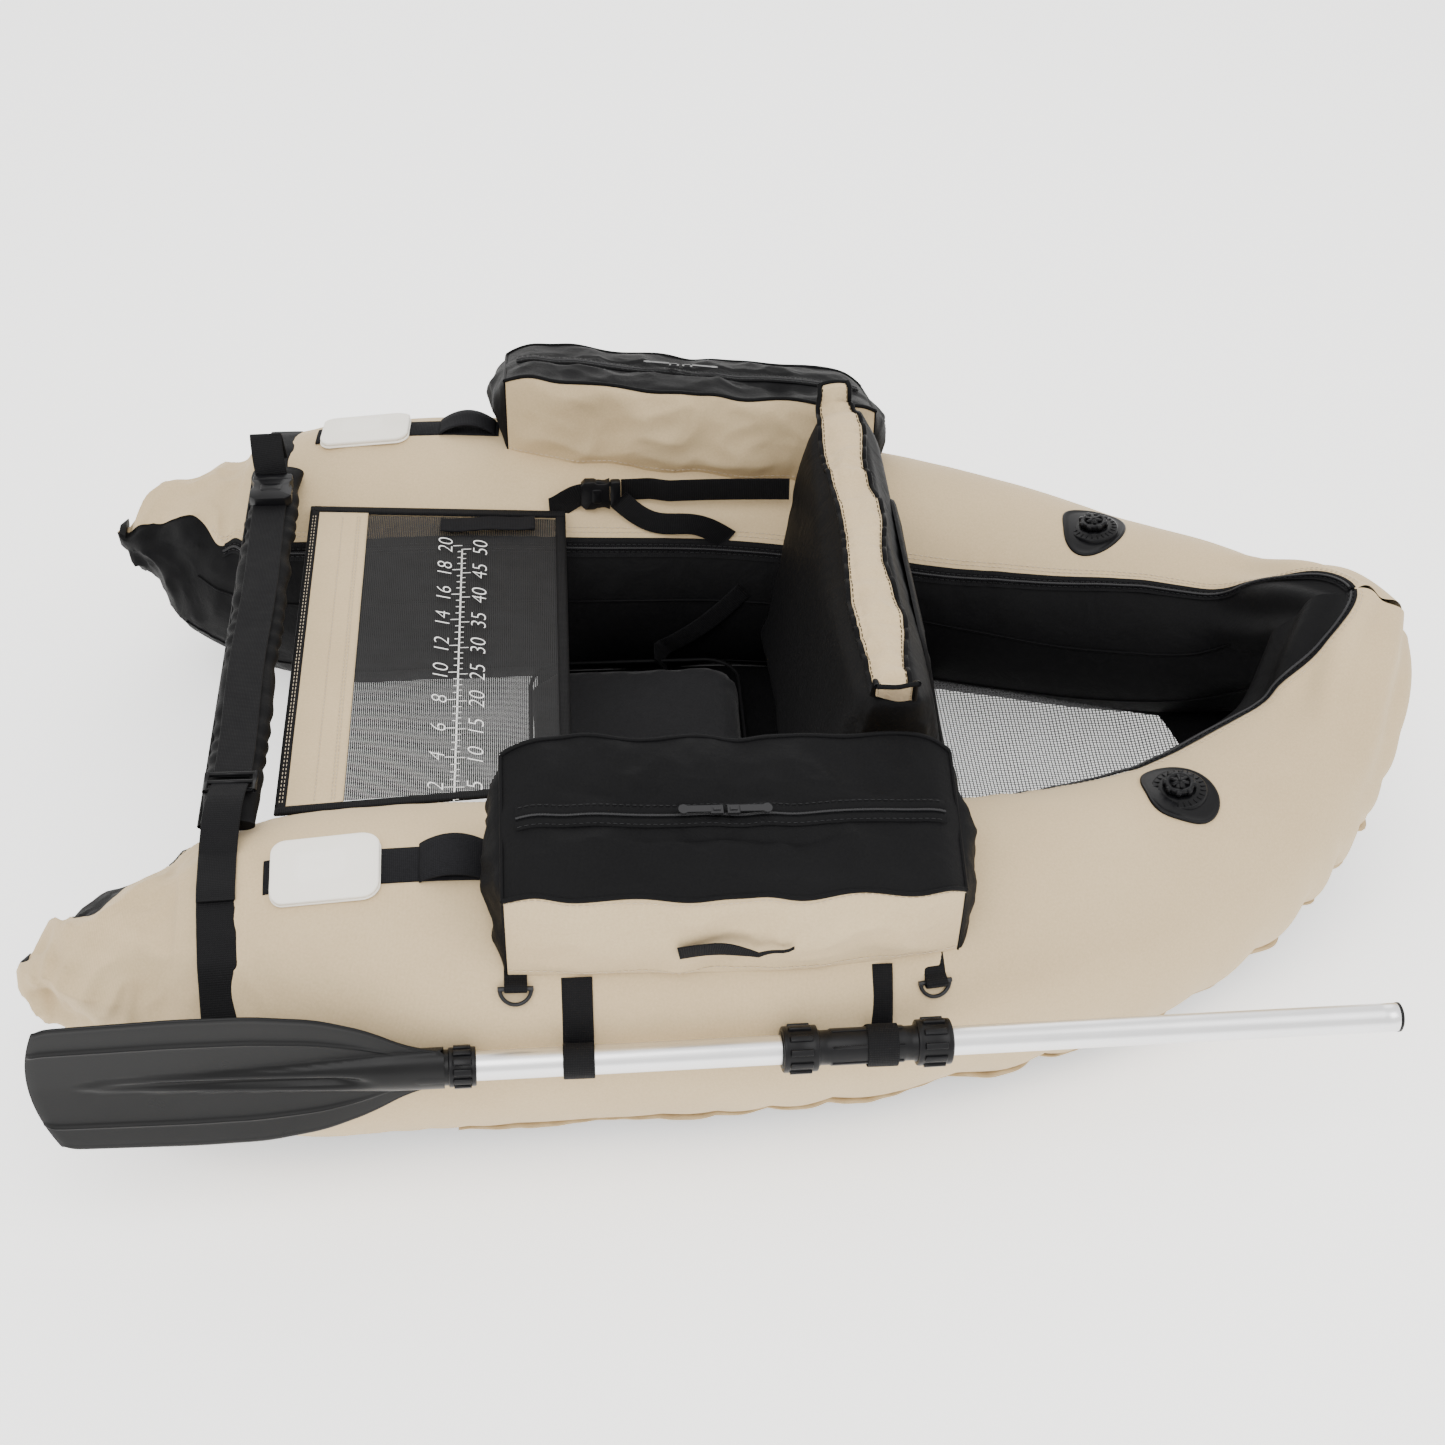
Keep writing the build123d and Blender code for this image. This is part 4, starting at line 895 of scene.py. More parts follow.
def bag_zip(label, side, inner, outer, seed):
    """Zipper along the middle of a bag's top, slightly wavy."""
    inset = slice(3, -3)
    u = np.linspace(0, 1, len(inner))[inset, None]
    still = smooth_step(0.06, 0.16, np.abs(u - 0.48))
    middle = (inner + outer)[inset] / 2 + (outer - inner)[inset] * 0.002 * np.sin(u * 15
        + seed) * still
    across = unit((outer - inner)[inset])
    along = unit(np.gradient(middle, axis=0))
    up = unit(np.cross(along, across))
    tape = np.stack([middle + across * w + up * h for w, h in (
        (-0.013, 0.0030), (-0.0125, 0.0044), (-0.004, 0.0046), (-0.0032, 0.0039),
            (0.0032, 0.0039), (0.004, 0.0046), (0.0125, 0.0044), (0.013, 0.0030)
    )], 1)
    parts = [sheet_mesh(tape, flip=True)]
    piece = build(label + "_bag_zip_tape", *sided(joined(*parts), side)[:2], BLACK, "hull",
        sided(joined(*parts), side)[2])
    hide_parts("bag_zippers")
    teeth = [coil(middle + up * 0.0043, 0.0016)]
    for w in (-0.0105, 0.0105):
        teeth.append(stitches(middle + across * w + up * 0.0046, up, radius=0.0004))
    build(label + "_bag_zip_coil", *sided(joined(*teeth), side)[:2], COIL, "hull")


def bag_pull(label, side, panel, out):
    """Small webbing pull on the bag's outer side."""
    row, a, b = 17, 33, 56
    path = panel[a:b, row] + out[a:b, row] * 0.004
    share = np.linspace(0, 1, b - a)[:, None]
    path = path + out[a:b, row] * 0.009 * np.sin(pi * share) + (0, 0, 0.004) * np.sin(2.2 * pi
        * share)
    verts, faces, uvs = ribbon(path, np.cross(np.gradient(path, axis=0), out[a:b, row]), 0.017,
        0.0016)
    centre = np.repeat(path, 14, axis=0)
    narrow = np.repeat(1 - 0.72 * smooth_step(0.25, 0.85, share), 14, axis=0)
    verts = centre + (verts - centre) * np.where(narrow < 1, narrow, 1)
    build(label + "_bag_pull", *sided((verts, faces, uvs), side)[:2], WEB, "hull",
            sided((verts, faces, uvs), side)[2])


# ---- padded pieces ---------------------------------------------------------
def inflated(name, verts, faces, material, body, voxel=0.006, pressure=4.0, cap=0.012):
    """Closed form swollen by a short cloth simulation, its travel capped."""
    piece = build(name, verts, faces, material, body)
    remesh = piece.modifiers.new("remesh", "REMESH")
    remesh.mode, remesh.voxel_size = "VOXEL", voxel
    finish_edges(piece)
    rest = np.array([v.co for v in piece.data.vertices])
    cloth_step = piece.modifiers.new("swell", "CLOTH")
    cloth_step.settings.use_pressure = True
    cloth_step.settings.uniform_pressure_force = pressure
    cloth_step.settings.effector_weights.gravity = 0
    cloth_step.settings.quality = 4
    for number in range(1, 19):
        bpy.context.scene.frame_set(number)
    finish_edges(piece)
    bpy.context.scene.frame_set(1)
    now = np.array([v.co for v in piece.data.vertices])
    travel = now - rest
    size = np.maximum(np.linalg.norm(travel, axis=1, keepdims=True), 1e-9)
    piece.data.vertices.foreach_set("co",
        (rest + travel / size * np.minimum(size, cap)).ravel())
    piece.data.update()
    finish_edges(piece, levels=1)
    piece.data.polygons.foreach_set("use_smooth", [True] * len(piece.data.polygons))
    if not piece.data.materials:
        piece.data.materials.append(material)
    return piece


def onto(piece, points, direction, lift):
    """Points dropped along a direction onto a piece, then lifted off it."""
    way = Vector(direction).normalized()
    landed = []
    for p in points.reshape(-1, 3):
        hit, place, normal, _ = piece.ray_cast(Vector(p) + SHIFT - way * 0.15, way)
        if hit:
            landed.append(np.array(place - SHIFT + normal * lift))
        else:
            landed.append(np.array(p))
    return np.array(landed).reshape(points.shape)


SEAT_REAR, SEAT_TOP, SEAT_THICKNESS, SIDE_CLEARANCE = 0.044, 0.114, 0.050, 0.014
SLING_REAR = 0.264


def prism(outline, low, high):
    """Closed solid from an XY outline and two heights."""
    outline = np.asarray(outline, float)
    n = len(outline)
    verts = np.concatenate([np.c_[outline, np.full(n, low)], np.c_[outline, np.full(n, high)]])
    faces = [[k, (k + 1) % n, n + (k + 1) % n, n + k] for k in range(n)]
    return verts, faces + [list(range(n))[::-1], list(range(n, 2 * n))]


def seat():
    """Seat cushion, its sling and the two side straps."""
    half = float(gap_half_width(SEAT_REAR, SEAT_TOP)) - SIDE_CLEARANCE
    shrink = 0.008
    outline = rounded(SEAT_REAR - SEAT_FRONT - 2 * shrink, 2 * (half - shrink), 0.045, 8,
        (SEAT_FRONT + SEAT_REAR) / 2)
    verts, faces = prism(outline, SEAT_TOP - SEAT_THICKNESS + 0.007, SEAT_TOP - 0.009)
    cushion = inflated("seat_cushion_cover", verts, faces, CHARCOAL, "hull", 0.007, 3.0, 0.009)
    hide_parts("seat_cushion")
    edge = rounded(SEAT_REAR - SEAT_FRONT - 2 * shrink - 0.012, 2 * (half - shrink) - 0.012,
        0.04, 8, (SEAT_FRONT + SEAT_REAR) / 2)
    ring = np.c_[edge, np.full(len(edge), SEAT_TOP)]
    ring = onto(cushion, ring, (0, 0, -1), 0.0006)
    build("seat_piping", *pipe(ring, 0.0024, 7, closed=True)[:2], BLACK, "hull")
    z = SEAT_TOP - SEAT_THICKNESS - 0.0015
    x = np.linspace(SEAT_FRONT + 0.02, SLING_REAR, 70)[:, None]
    share = np.linspace(-1, 1, 60)[None]
    y = share * (gap_half_width(x, z) + 0.0005)
    points = np.stack([x + 0 * y, y, z - 0.004 * (1 - share ** 2) + 0 * x], -1)
    sling = build_sheet("seat_sling_cloth", sheet_mesh(points), BLACK, "hull")
    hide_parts("seat_sling")
    straps = []
    for side in (LEFT, RIGHT):
        foot_x, head_x = SEAT_REAR - 0.100, SEAT_REAR - 0.004
        share = np.linspace(0, 1, 24)
        x = foot_x + (head_x - foot_x) * share
        z = SEAT_TOP + 0.002 + 0.080 * share
        y = gap_half_width(x, z) - 0.003 - 0.006 * np.sin(pi * share)
        tuck = np.stack([x[0] - 0.006 - 0 * share[:3], y[0] - np.array((0.035, 0.02, 0.008)),
                z[0] + np.array((-0.001, 0.0, 0.0))], -1)
        path = np.concatenate([tuck, np.stack([x, y, z], -1)])
        across = np.broadcast_to((0.62, 0.0, -0.78), path.shape)
        straps.append(sided(ribbon(path, across, 0.024, 0.0016), side))
    piece = build("seat_side_straps", *joined(*straps)[:2], WEB, "hull", joined(*straps)[2])
    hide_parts("seat_straps")


BACK_X, BACK_BASE, BACK_TOP, BACK_BASE_DEPTH = 0.048, 0.142, 0.430, 0.190
BACK_RIDGE_X, BACK_RIDGE_DEPTH, BACK_HALF_TOP = 0.127, 0.054, 0.288
BASE_END, RIDGE_END = BACK_X + BACK_BASE_DEPTH, BACK_RIDGE_X + BACK_RIDGE_DEPTH


def back_half(z):
    """Half the backrest's width at height z."""
    base = float(gap_half_width(BASE_END, tube_at(BASE_END)[1])) - 0.0026
    shoulder = tube_at(BACK_X)[1] + tube_at(BACK_X)[2]
    heights = (BACK_BASE - 0.01, BACK_BASE + 0.05, BACK_BASE + 0.084, shoulder, shoulder
        + 0.028, BACK_TOP + 0.01)
    return np.interp(z, heights, (base, base, base + 0.024, BACK_HALF_TOP - 0.04,
            BACK_HALF_TOP - 0.008, BACK_HALF_TOP))


def backrest():
    """Padded backrest: black front and rear, gathered tan ridge, pocket."""
    inset = 0.006
    z = np.linspace(BACK_BASE + inset, BACK_TOP - 0.008, 24)
    share = (z - BACK_BASE) / (BACK_TOP - BACK_BASE)
    front = BACK_X + (BACK_RIDGE_X - BACK_X) * share + inset
    rear = BASE_END + (RIDGE_END - BASE_END) * share - inset
    half = back_half(z) - inset
    ring = np.stack([np.stack([a, b * h, z], -1) for a, b,
            h in ((front, -1, half), (rear, -1, half), (rear, 1, half), (front, 1, half))], 1)
    verts, faces, _ = sheet_mesh(ring, loop_columns=True)
    last = (len(z) - 1) * 4
    faces = [list(f) for f in faces] + [[3, 2, 1, 0], [last, last + 1, last + 2, last + 3]]
    core = inflated("backrest_cover", verts, faces, BLACK, "backrest", 0.008, 5.0, 0.011)
    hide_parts("backrest_cushion")
    y = np.linspace(-BACK_HALF_TOP + 0.004, BACK_HALF_TOP - 0.004, 190)
    span_share = np.linspace(-1, 1, 22)[:, None]
    edge_front = BACK_RIDGE_X - 0.001 + 0.003 * np.sin(y * 21 + 1.0)
    edge_rear = RIDGE_END - 0.011 + 0.004 * np.sin(y * 33) - 0.010 * smooth_step(0.20, 0.285, y)
    x = edge_front + (edge_rear - edge_front) * (span_share + 1) / 2
    flat = np.stack(np.broadcast_arrays(x, y[None], BACK_TOP), -1).copy()
    band = onto(core, flat, (0, 0, -1), 0.0022)
    band[..., 2] = np.maximum(band[..., 2], BACK_TOP - 0.02)
    phase = y * 2 * pi / 0.026 + 1.6 * np.sin(y * 37) + 0.9 * np.sin(y * 83)
    gather = 0.0042 * np.abs(np.sin(phase / 2))[None] * (0.35 + 0.65
        * span_share ** 2) + 0.0075 * (creases(band, 0.045, 5.0) - 0.45)
    side_puff = 0.006 * (1 - span_share ** 2)
    band[..., 2] += gather + side_puff
    piece = build_sheet("backrest_ridge", sheet_mesh(band), TAN_PUCKERED, "backrest")
    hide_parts("backrest_gusset")
    welts = []
    for k in (0, -1):
        welts.append(pipe(band[k] + (0, 0, 0.0004), 0.0030, 7))
    for k in (0, -1):
        welts.append(pipe(band[:, k] + (0, 0, 0.0002), 0.0026, 7))
    for row in (2, -3):
        welts.append(stitches(band[row], (0, 0, 1), lift=0.0003))
    build("backrest_piping", *joined(*welts)[:2], BLACK, "backrest")
    pocket(core)


POCKET_HALF, POCKET_HEIGHT, POCKET_ZIP_UP = 0.150, 0.190, -0.060


def pocket(core):
    """Pocket on the back of the backrest, with its zipper."""
    slope = unit(np.array((BASE_END - RIDGE_END, 0.0, BACK_BASE - BACK_TOP + 0.0023)))
    normal = np.array((-slope[2], 0.0, slope[0]))
    normal = normal if normal[0] > 0 else -normal
    middle = np.array(((BASE_END + RIDGE_END) / 2, 0.0, (BACK_BASE + BACK_TOP - 0.0023) / 2))
    up = -slope
    outline = rounded(2 * POCKET_HALF, POCKET_HEIGHT, 0.030, 8)
    rings = []
    for share, lift in ((1.0, 0.0006), (0.985, 0.0034), (0.95, 0.0042), (0.8, 0.0050),
        (0.6, 0.0052), (0.4, 0.0052), (0.2, 0.0052), (0.02, 0.0052)):
        flat = middle + np.array((0, 1, 0)) * outline[:, :1] * share + up * outline[:, 1:] * share
        ring = onto(core, flat, -normal, 0.0)
        ring = ring + normal * lift
        ring = ring + normal * (0.0026 * (creases(ring, 0.045, 4.0) - 0.5)
            * smooth_step(1.0, 0.9, np.full(len(ring), share)))[:, None]
        rings.append(ring)
    piece = build_sheet("backrest_rear_pocket",
        sheet_mesh(np.array(rings), loop_columns=True, flip=True), BLACK, "backrest")
    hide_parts("backrest_pocket")
    y = np.linspace(-POCKET_HALF + 0.035, POCKET_HALF - 0.035, 80)
    line = middle + np.array((0, 1, 0)) * y[:, None] + up * POCKET_ZIP_UP
    surface_line = line + normal * 0.0060
    tape = np.stack([surface_line + up * w + normal * h for w,
            h in ((-0.012, -0.002), (-0.0115, 0.0), (0.0115, 0.0), (0.012, -0.002))], 1)
    build_sheet("pocket_zip_tape", sheet_mesh(tape), WEB, "backrest")
    build("pocket_zip_coil", *coil(surface_line + normal * 0.0008, 0.0017)[:2], COIL,
            "backrest")


# ---- cargo floor -----------------------------------------------------------
def cargo_floor():
    """Net between the tubes in the bow, with a bound front edge."""
    low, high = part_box("bow_floor")
    x0, z = low.x - SHIFT.x, (low.z + high.z) / 2
    x1 = high.x - SHIFT.x
    x = np.linspace(x0, x1, 80)[:, None]
    share = np.linspace(-1, 1, 90)[None]
    y = share * (gap_half_width(x, z) - 0.0008)
    sag = 0.012 * (1 - share ** 2) * np.sin(pi * np.clip((x - x0) / (x1 - x0), 0, 1)) ** 0.7
    ripple = 0.0016 * np.sin(x * 70 + 3 * share) * (1 - share ** 4)
    points = np.stack([x + 0 * y, y, z - sag + ripple], -1)
    uv = points[..., :2]
    net = build_sheet("cargo_net", sheet_mesh(points, uv), NET, "hull")
    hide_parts("bow_floor")
    nose_x = np.linspace(x1 - 0.004, x1 + 0.085, 30)[:, None]
    nose_y = share * (gap_half_width(nose_x, z) + 0.004)
    nose = np.stack([nose_x + 0 * nose_y - 0.020 * share ** 2, nose_y, z + 0.0012 + 0.16
            * (nose_x - x1) + 0 * nose_y], -1)
    front = build_sheet("cargo_net_nose", sheet_mesh(nose), BLACK, "hull")
    edges = [ribbon(points[k, :], np.gradient(points[k, :], axis=0)[:, [1, 0, 2]] * (1, -1, 1),
            0.016, 0.0018) for k in (0, -1)]
    edges += [pipe(points[:, k] + (0, 0, 0.0008), 0.0026, 6) for k in (0, -1)]
    build("cargo_net_binding", *joined(*edges)[:2], WEB, "hull", joined(*edges)[2])


def emit(name, parts, material, body, side=RIGHT, stands_for=(), thickness=0.0,
    bevel=0.0):
    """Join parts into one named piece on a body."""
    verts, faces, uvs = sided(joined(*parts), side)
    piece = build(name, verts, faces, material, body, uvs)
    if thickness or bevel:
        finish_edges(piece, thickness=thickness, bevel=bevel)
    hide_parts(*stands_for)
    return piece


# ---- stripping apron -------------------------------------------------------
APRON_FRONT, APRON_REAR = -0.470, -0.172
APRON_HALF_FRONT, APRON_HALF_REAR, APRON_BAND, BINDING = 0.276, 0.252, 0.062, 0.012


def apron():
    """Net panel with a tan band, bound edges, a hook patch and a ruler."""
    z0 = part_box("apron_mesh")[0].z + 0.0006
    x = np.linspace(APRON_FRONT, APRON_REAR, 76)
    share = np.linspace(-1, 1, 120)
    half = np.interp(x, (APRON_FRONT, APRON_REAR), (APRON_HALF_FRONT, APRON_HALF_REAR))
    points = np.stack(np.broadcast_arrays(x[:, None], half[:, None] * share[None], z0), -1).copy()
    free = (1 - share ** 4)[None] * np.ones((len(x), 1))
    dip = -0.006 * free * (0.5 + 0.5 * np.sin(3.0 * (x[:,
                    None] + 0.3) * 4)) + 0.0015 * wobble(points, 0.09, 2.0) * free
    points[..., 2] += dip
    uv = points[..., :2]
    band_rows = int(round(APRON_BAND / (APRON_REAR - APRON_FRONT) * 75)) + 1
    net = build_sheet("apron_net", sheet_mesh(points[band_rows - 1:, 3:-3], uv[band_rows - 1:,
                3:-3]), APRON_NET, "apron")
    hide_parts("apron_mesh")
    band = points[:band_rows + 1, 2:-2] + (0, 0, 0.0009)
    piece = emit("apron_tan_band", [sheet_mesh(band)], TAN, "apron",
        stands_for=["apron_band"])
    finish_edges(piece, thickness=0.0011)
    rows = []
    for place in (0.0035, 0.0065, APRON_BAND - 0.0065, APRON_BAND - 0.0035, APRON_BAND * 0.62):
        k = place / (APRON_REAR - APRON_FRONT) * 75
        low = int(k)
        line = points[low, 3:-3] * (1 - k + low) + points[low + 1, 3:-3] * (k - low)
        rows.append(stitches(line + (0, 0, 0.0016), (0, 0, 1)))
    emit("apron_stitching", rows, THREAD, "apron")
    rim = [points[:, 0], points[-1], points[::-1, -1], points[0, ::-1]]
    strips = []
    for k, edge in enumerate(rim):
        inward = unit(np.array((points[38, 60] - edge[len(edge) // 2])))
        shift = inward * BINDING * 0.42
        line = edge + shift + (0, 0, 0.0006)
        strips.append(ribbon(line, np.broadcast_to(inward, line.shape), BINDING, 0.0032))
    emit("apron_edge_binding", strips, WEB, "apron", stands_for=["apron_binding"])
    patch_x = np.linspace(-0.317, -0.207, 24)
    patch_y = np.linspace(0.215, 0.241, 8)
    lifted = np.stack(np.broadcast_arrays(patch_x[:, None], patch_y[None], z0 + 0.0034), -1).copy()
    lifted[..., 2] += 0.0010 * np.sin(patch_x * 90)[:, None]
    emit("apron_hook_patch", [sheet_mesh(lifted)], HOOK, "apron", thickness=0.0016)
    ruler(z0 + 0.0013)


def ruler(z):
    """Generic printed scale: inches on one side of a line, centimetres on the other."""
    line_x, origin_y, centimetre = -0.291, -0.290, 0.0094
    marks = [slab([(line_x - 0.0009, origin_y), (line_x + 0.0009, origin_y),
                (line_x + 0.0009, origin_y + 50 * centimetre),
                (line_x - 0.0009, origin_y + 50 * centimetre)], 0.0003)]
    for k in range(1, 51):
        y, long_mark = origin_y + k * centimetre, 0.0105 if k % 5 == 0 else 0.0048
        marks.append(slab([(line_x, y - 0.0005), (line_x + long_mark, y - 0.0005),
                    (line_x + long_mark, y + 0.0005), (line_x, y + 0.0005)], 0.0003))
    for k in range(1, 41):
        y, long_mark = origin_y + k * centimetre * 1.27, 0.0105 if k % 4 == 0 else 0.0050
        marks.append(slab([(line_x - long_mark, y - 0.0006), (line_x, y - 0.0006),
                    (line_x, y + 0.0006), (line_x - long_mark, y + 0.0006)], 0.0003))
    emit("ruler_marks", [moved(m, Matrix.Translation((0, 0, z))) for m in marks], PRINT,
        "apron")
    labels = [(str(n), line_x - 0.011, origin_y + n * 2.54 * centimetre) for n in range(2, 21, 2)]
    labels += [(str(n), line_x + 0.029, origin_y + n * centimetre) for n in range(5, 51, 5)]
    parts = []
    for text, x, y in labels:
        curve = bpy.data.curves.new("label", "FONT")
        curve.body, curve.size, curve.shear, curve.align_x = text, 0.030, 0.3, "CENTER"
        curve.extrude, curve.offset = 0.00012, -0.0006
        holder = bpy.data.objects.new("label", curve)
        bpy.context.scene.collection.objects.link(holder)
        bpy.context.view_layer.update()
        mesh = bpy.data.meshes.new_from_object(holder.evaluated_get(
                bpy.context.evaluated_depsgraph_get()))
        verts = np.array([v.co for v in mesh.vertices])
        faces = [list(p.vertices) for p in mesh.polygons]
        turned = np.stack([-verts[:, 1] * 0.82 + x, verts[:, 0] + y, verts[:, 2] + z + 0.0002], -1)
        parts.append((turned, faces, np.zeros((sum(len(f) for f in faces), 2))))
        bpy.data.objects.remove(holder)
        bpy.data.meshes.remove(mesh)
    emit("ruler_numbers", parts, PRINT, "apron")


# ---- stabilizer ------------------------------------------------------------
BAR_X, BAR_HALF, BAR_RADIUS, SLEEVE_HALF_WIDTH, WIDE_WEB = -0.510, 0.316, 0.011, 0.027, 0.038
BAR_BUCKLE_Y, GLIDE_Y, WEBBING = 0.264, -0.262, 0.0016


def release_buckle(width, height, depth):
    """Female and male halves of a side-release buckle along +X, mouth at X = 0."""
    waist = [(-width, -0.36), (-width, 0.36), (-width * 0.86, 0.5), (-width * 0.55, 0.5),
        (-width * 0.42, 0.43), (-width * 0.16, 0.43), (0.0, 0.5)]
    outline = [(x, y * height) for x, y in waist]
    outline += [(x, -y) for x, y in outline[:1:-1]] + [(-width * 0.86, -0.5 * height)]
    shell = moved(slab(outline, depth, 0.0012), Matrix.Translation((0, 0, -depth / 2)))
    rib = moved(slab(rounded(width * 0.34, height * 0.5, 0.003), 0.0014, 0.0004),
        Matrix.Translation((-width * 0.45, 0, depth / 2)))
    head = moved(slab(rounded(0.0125, height * 0.94, 0.003, x=0.0066), depth * 0.8, 0.0008),
        Matrix.Translation((0, 0, -depth * 0.4)))
    prongs = [head]
    for sign in (-1, 1):
        prong = [(0.001, sign * 0.40 * height), (-width * 0.40, sign * 0.50 * height),
            (-width * 0.55, sign * 0.47 * height), (-width * 0.5, sign * 0.34 * height),
            (0.001, sign * 0.30 * height)]
        prong = prong if sign > 0 else prong[::-1]
        prongs.append(moved(slab(prong, depth * 0.5, 0.0003),
                Matrix.Translation((0, 0, -depth * 0.25))))
    return joined(shell, rib), joined(*prongs)


def stabilizer():
    """Padded sleeve over a bar, wide webbing, buckle, adjuster and wrap straps."""
    low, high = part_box("stabilizer_sleeve")
    bar_z = (low.z + high.z) / 2
    y = np.linspace(-BAR_HALF, BAR_HALF, 170)
    turn = np.linspace(0, 2 * pi, 41)[:-1]
    cx, cz = np.cos(turn), np.sin(turn)
    width, height = SLEEVE_HALF_WIDTH + 0.0015, BAR_RADIUS + 0.0018
    pinch = 1 - 0.35 * np.exp(-((np.abs(y) - BAR_HALF) / 0.012) ** 2)
    sleeve = np.stack(np.broadcast_arrays(
        BAR_X + np.sign(cx)[None] * np.abs(cx)[None] ** 0.8 * width, y[:, None], bar_z
            + np.sign(cz)[None] * np.abs(cz)[None] ** 0.9 * height * pinch[:, None]), -1).copy()
    rumple = 0.0034 * (creases(sleeve, 0.055, 31.0) - 0.5) + 0.0012 * np.sin(y * 190 + 3
        * np.sin(y * 31))[:, None]
    out = np.stack(np.broadcast_arrays(cx[None], 0 * y[:, None], cz[None]), -1)
    sleeve += out * rumple[..., None] * 0.8
    emit("stabilizer_sleeve_cloth", [sheet_mesh(sleeve, loop_columns=True)]
        + [(sleeve[k], [list(range(40))[::step]], np.zeros((40, 2))) for k,
            step in ((0, 1), (-1, -1))],
         BLACK, "stabilizer", stands_for=["stabilizer_sleeve"])
    seam = np.stack([BAR_X - width * 0.98 + 0 * y, y, bar_z + 0 * y], -1)
    emit("stabilizer_sleeve_seam", [pipe(seam, 0.0022, 6)], BLACK, "stabilizer")
    web_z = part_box("stabilizer_webbing")[0].z + WEBBING / 2 + 0.0006
    y = np.linspace(GLIDE_Y + 0.004, BAR_BUCKLE_Y - 0.036, 120)
    path = np.stack([BAR_X + 0.0012 * np.sin(y * 21), y, web_z + 0.0010
            * np.abs(np.sin(y * 17))], -1)
    emit("stabilizer_strap", [ribbon(path, np.broadcast_to((1.0, 0, 0), path.shape), WIDE_WEB,
                WEBBING)], WEB, "stabilizer", stands_for=["stabilizer_webbing"])
    female, male = release_buckle(0.040, WIDE_WEB + 0.010, 0.012)
    frame_at = Matrix(((0, -1, 0, BAR_X), (1, 0, 0, BAR_BUCKLE_Y), (0, 0, 1, web_z + 0.0058),
            (0, 0, 0, 1)))
    emit("stabilizer_buckle_body", [moved(female, frame_at)], PLASTIC, "stabilizer",
        stands_for=["stabilizer_buckle_female"], bevel=0.0012)
    emit("stabilizer_buckle_prongs", [moved(male, frame_at)], PLASTIC, "stabilizer_buckle",
        stands_for=["stabilizer_buckle_male"], bevel=0.0009)
    glide_z = web_z + 0.0016
    bars = []
    for dy in (-0.0125, 0.0, 0.0125):
        bars.append(pipe([(BAR_X - WIDE_WEB / 2 - 0.005, GLIDE_Y - 0.006 + dy, glide_z),
                    (BAR_X + WIDE_WEB / 2 + 0.005, GLIDE_Y - 0.006 + dy, glide_z)], 0.0026, 10))
    for dx in (-1, 1):
        x = BAR_X + dx * (WIDE_WEB / 2 + 0.005)
        bars.append(pipe([(x, GLIDE_Y - 0.020, glide_z), (x, GLIDE_Y + 0.008, glide_z)],
                0.0028, 10))
    emit("stabilizer_adjuster", bars, PLASTIC, "stabilizer",
        stands_for=["stabilizer_tri_glide"])
    wraps, tails = [], []
    s = distance_at(BAR_X, 40)
    for side in (LEFT, RIGHT):
        angle = np.linspace(-24.0, 97.0 if side == LEFT else 92.0, 90)
        path = cover_shape(np.full((90, 1), s), angle[:, None], 0.0040, side)[:, 0]
        across = np.broadcast_to((1.0, 0, 0), path.shape)
        wraps.append(sided(ribbon(path, across, WIDE_WEB, WEBBING * 1.3), side))
    emit("tube_wrap_straps", wraps, WEB, "hull", stands_for=["stabilizer_wrap_straps"])
    share = np.linspace(0, 1, 26)
    lying = cover_shape(np.full((20, 1), s), np.linspace(-6.0, 17.0, 20)[:, None], 0.0085,
        LEFT)[:, 0] * (1, -1, 1)
    start = np.array((BAR_X, -0.272, web_z + 0.0024))
    hump = start + (lying[0] - start) * share[:, None]
    hump[:, 2] += 0.012 * np.sin(pi * share)
    hump = np.concatenate([hump, lying[1:]])
    verts, faces, uvs = ribbon(hump, np.broadcast_to((1.0, 0.06, 0), hump.shape), WIDE_WEB
        * 0.98, WEBBING)
    near_tail = build("stabilizer_near_tail", verts, faces, WEB, "stabilizer", uvs)
    near_tail.parent = None
    near_tail.matrix_world = Matrix.Identity(4)
    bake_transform(near_tail)
    fold = np.stack([BAR_X - 0.002 - 0.006 * share, 0.277 + 0.030 * share - 0.006
            * np.sin(pi * share), web_z + 0.004 + 0.042 * share ** 0.8], -1)
    back = np.stack([BAR_X - 0.008 + 0.004 * share, 0.309 + 0.002 * share, web_z + 0.046
            - 0.038 * share], -1)
    tails.append(ribbon(np.concatenate([fold, back[2:]]),
            np.broadcast_to((1.0, 0.05, 0), (len(fold) + len(back) - 2, 3)), WIDE_WEB * 0.96,
            WEBBING))
    emit("stabilizer_far_loop", tails, WEB, "stabilizer")


# ---- backrest straps -------------------------------------------------------
NARROW_WEB = 0.030
BACK_STRAP_Y, BACK_STRAP_Z, BACK_STRAP_START, BACK_BUCKLE_X = 0.264, 0.306, -0.186, -0.118


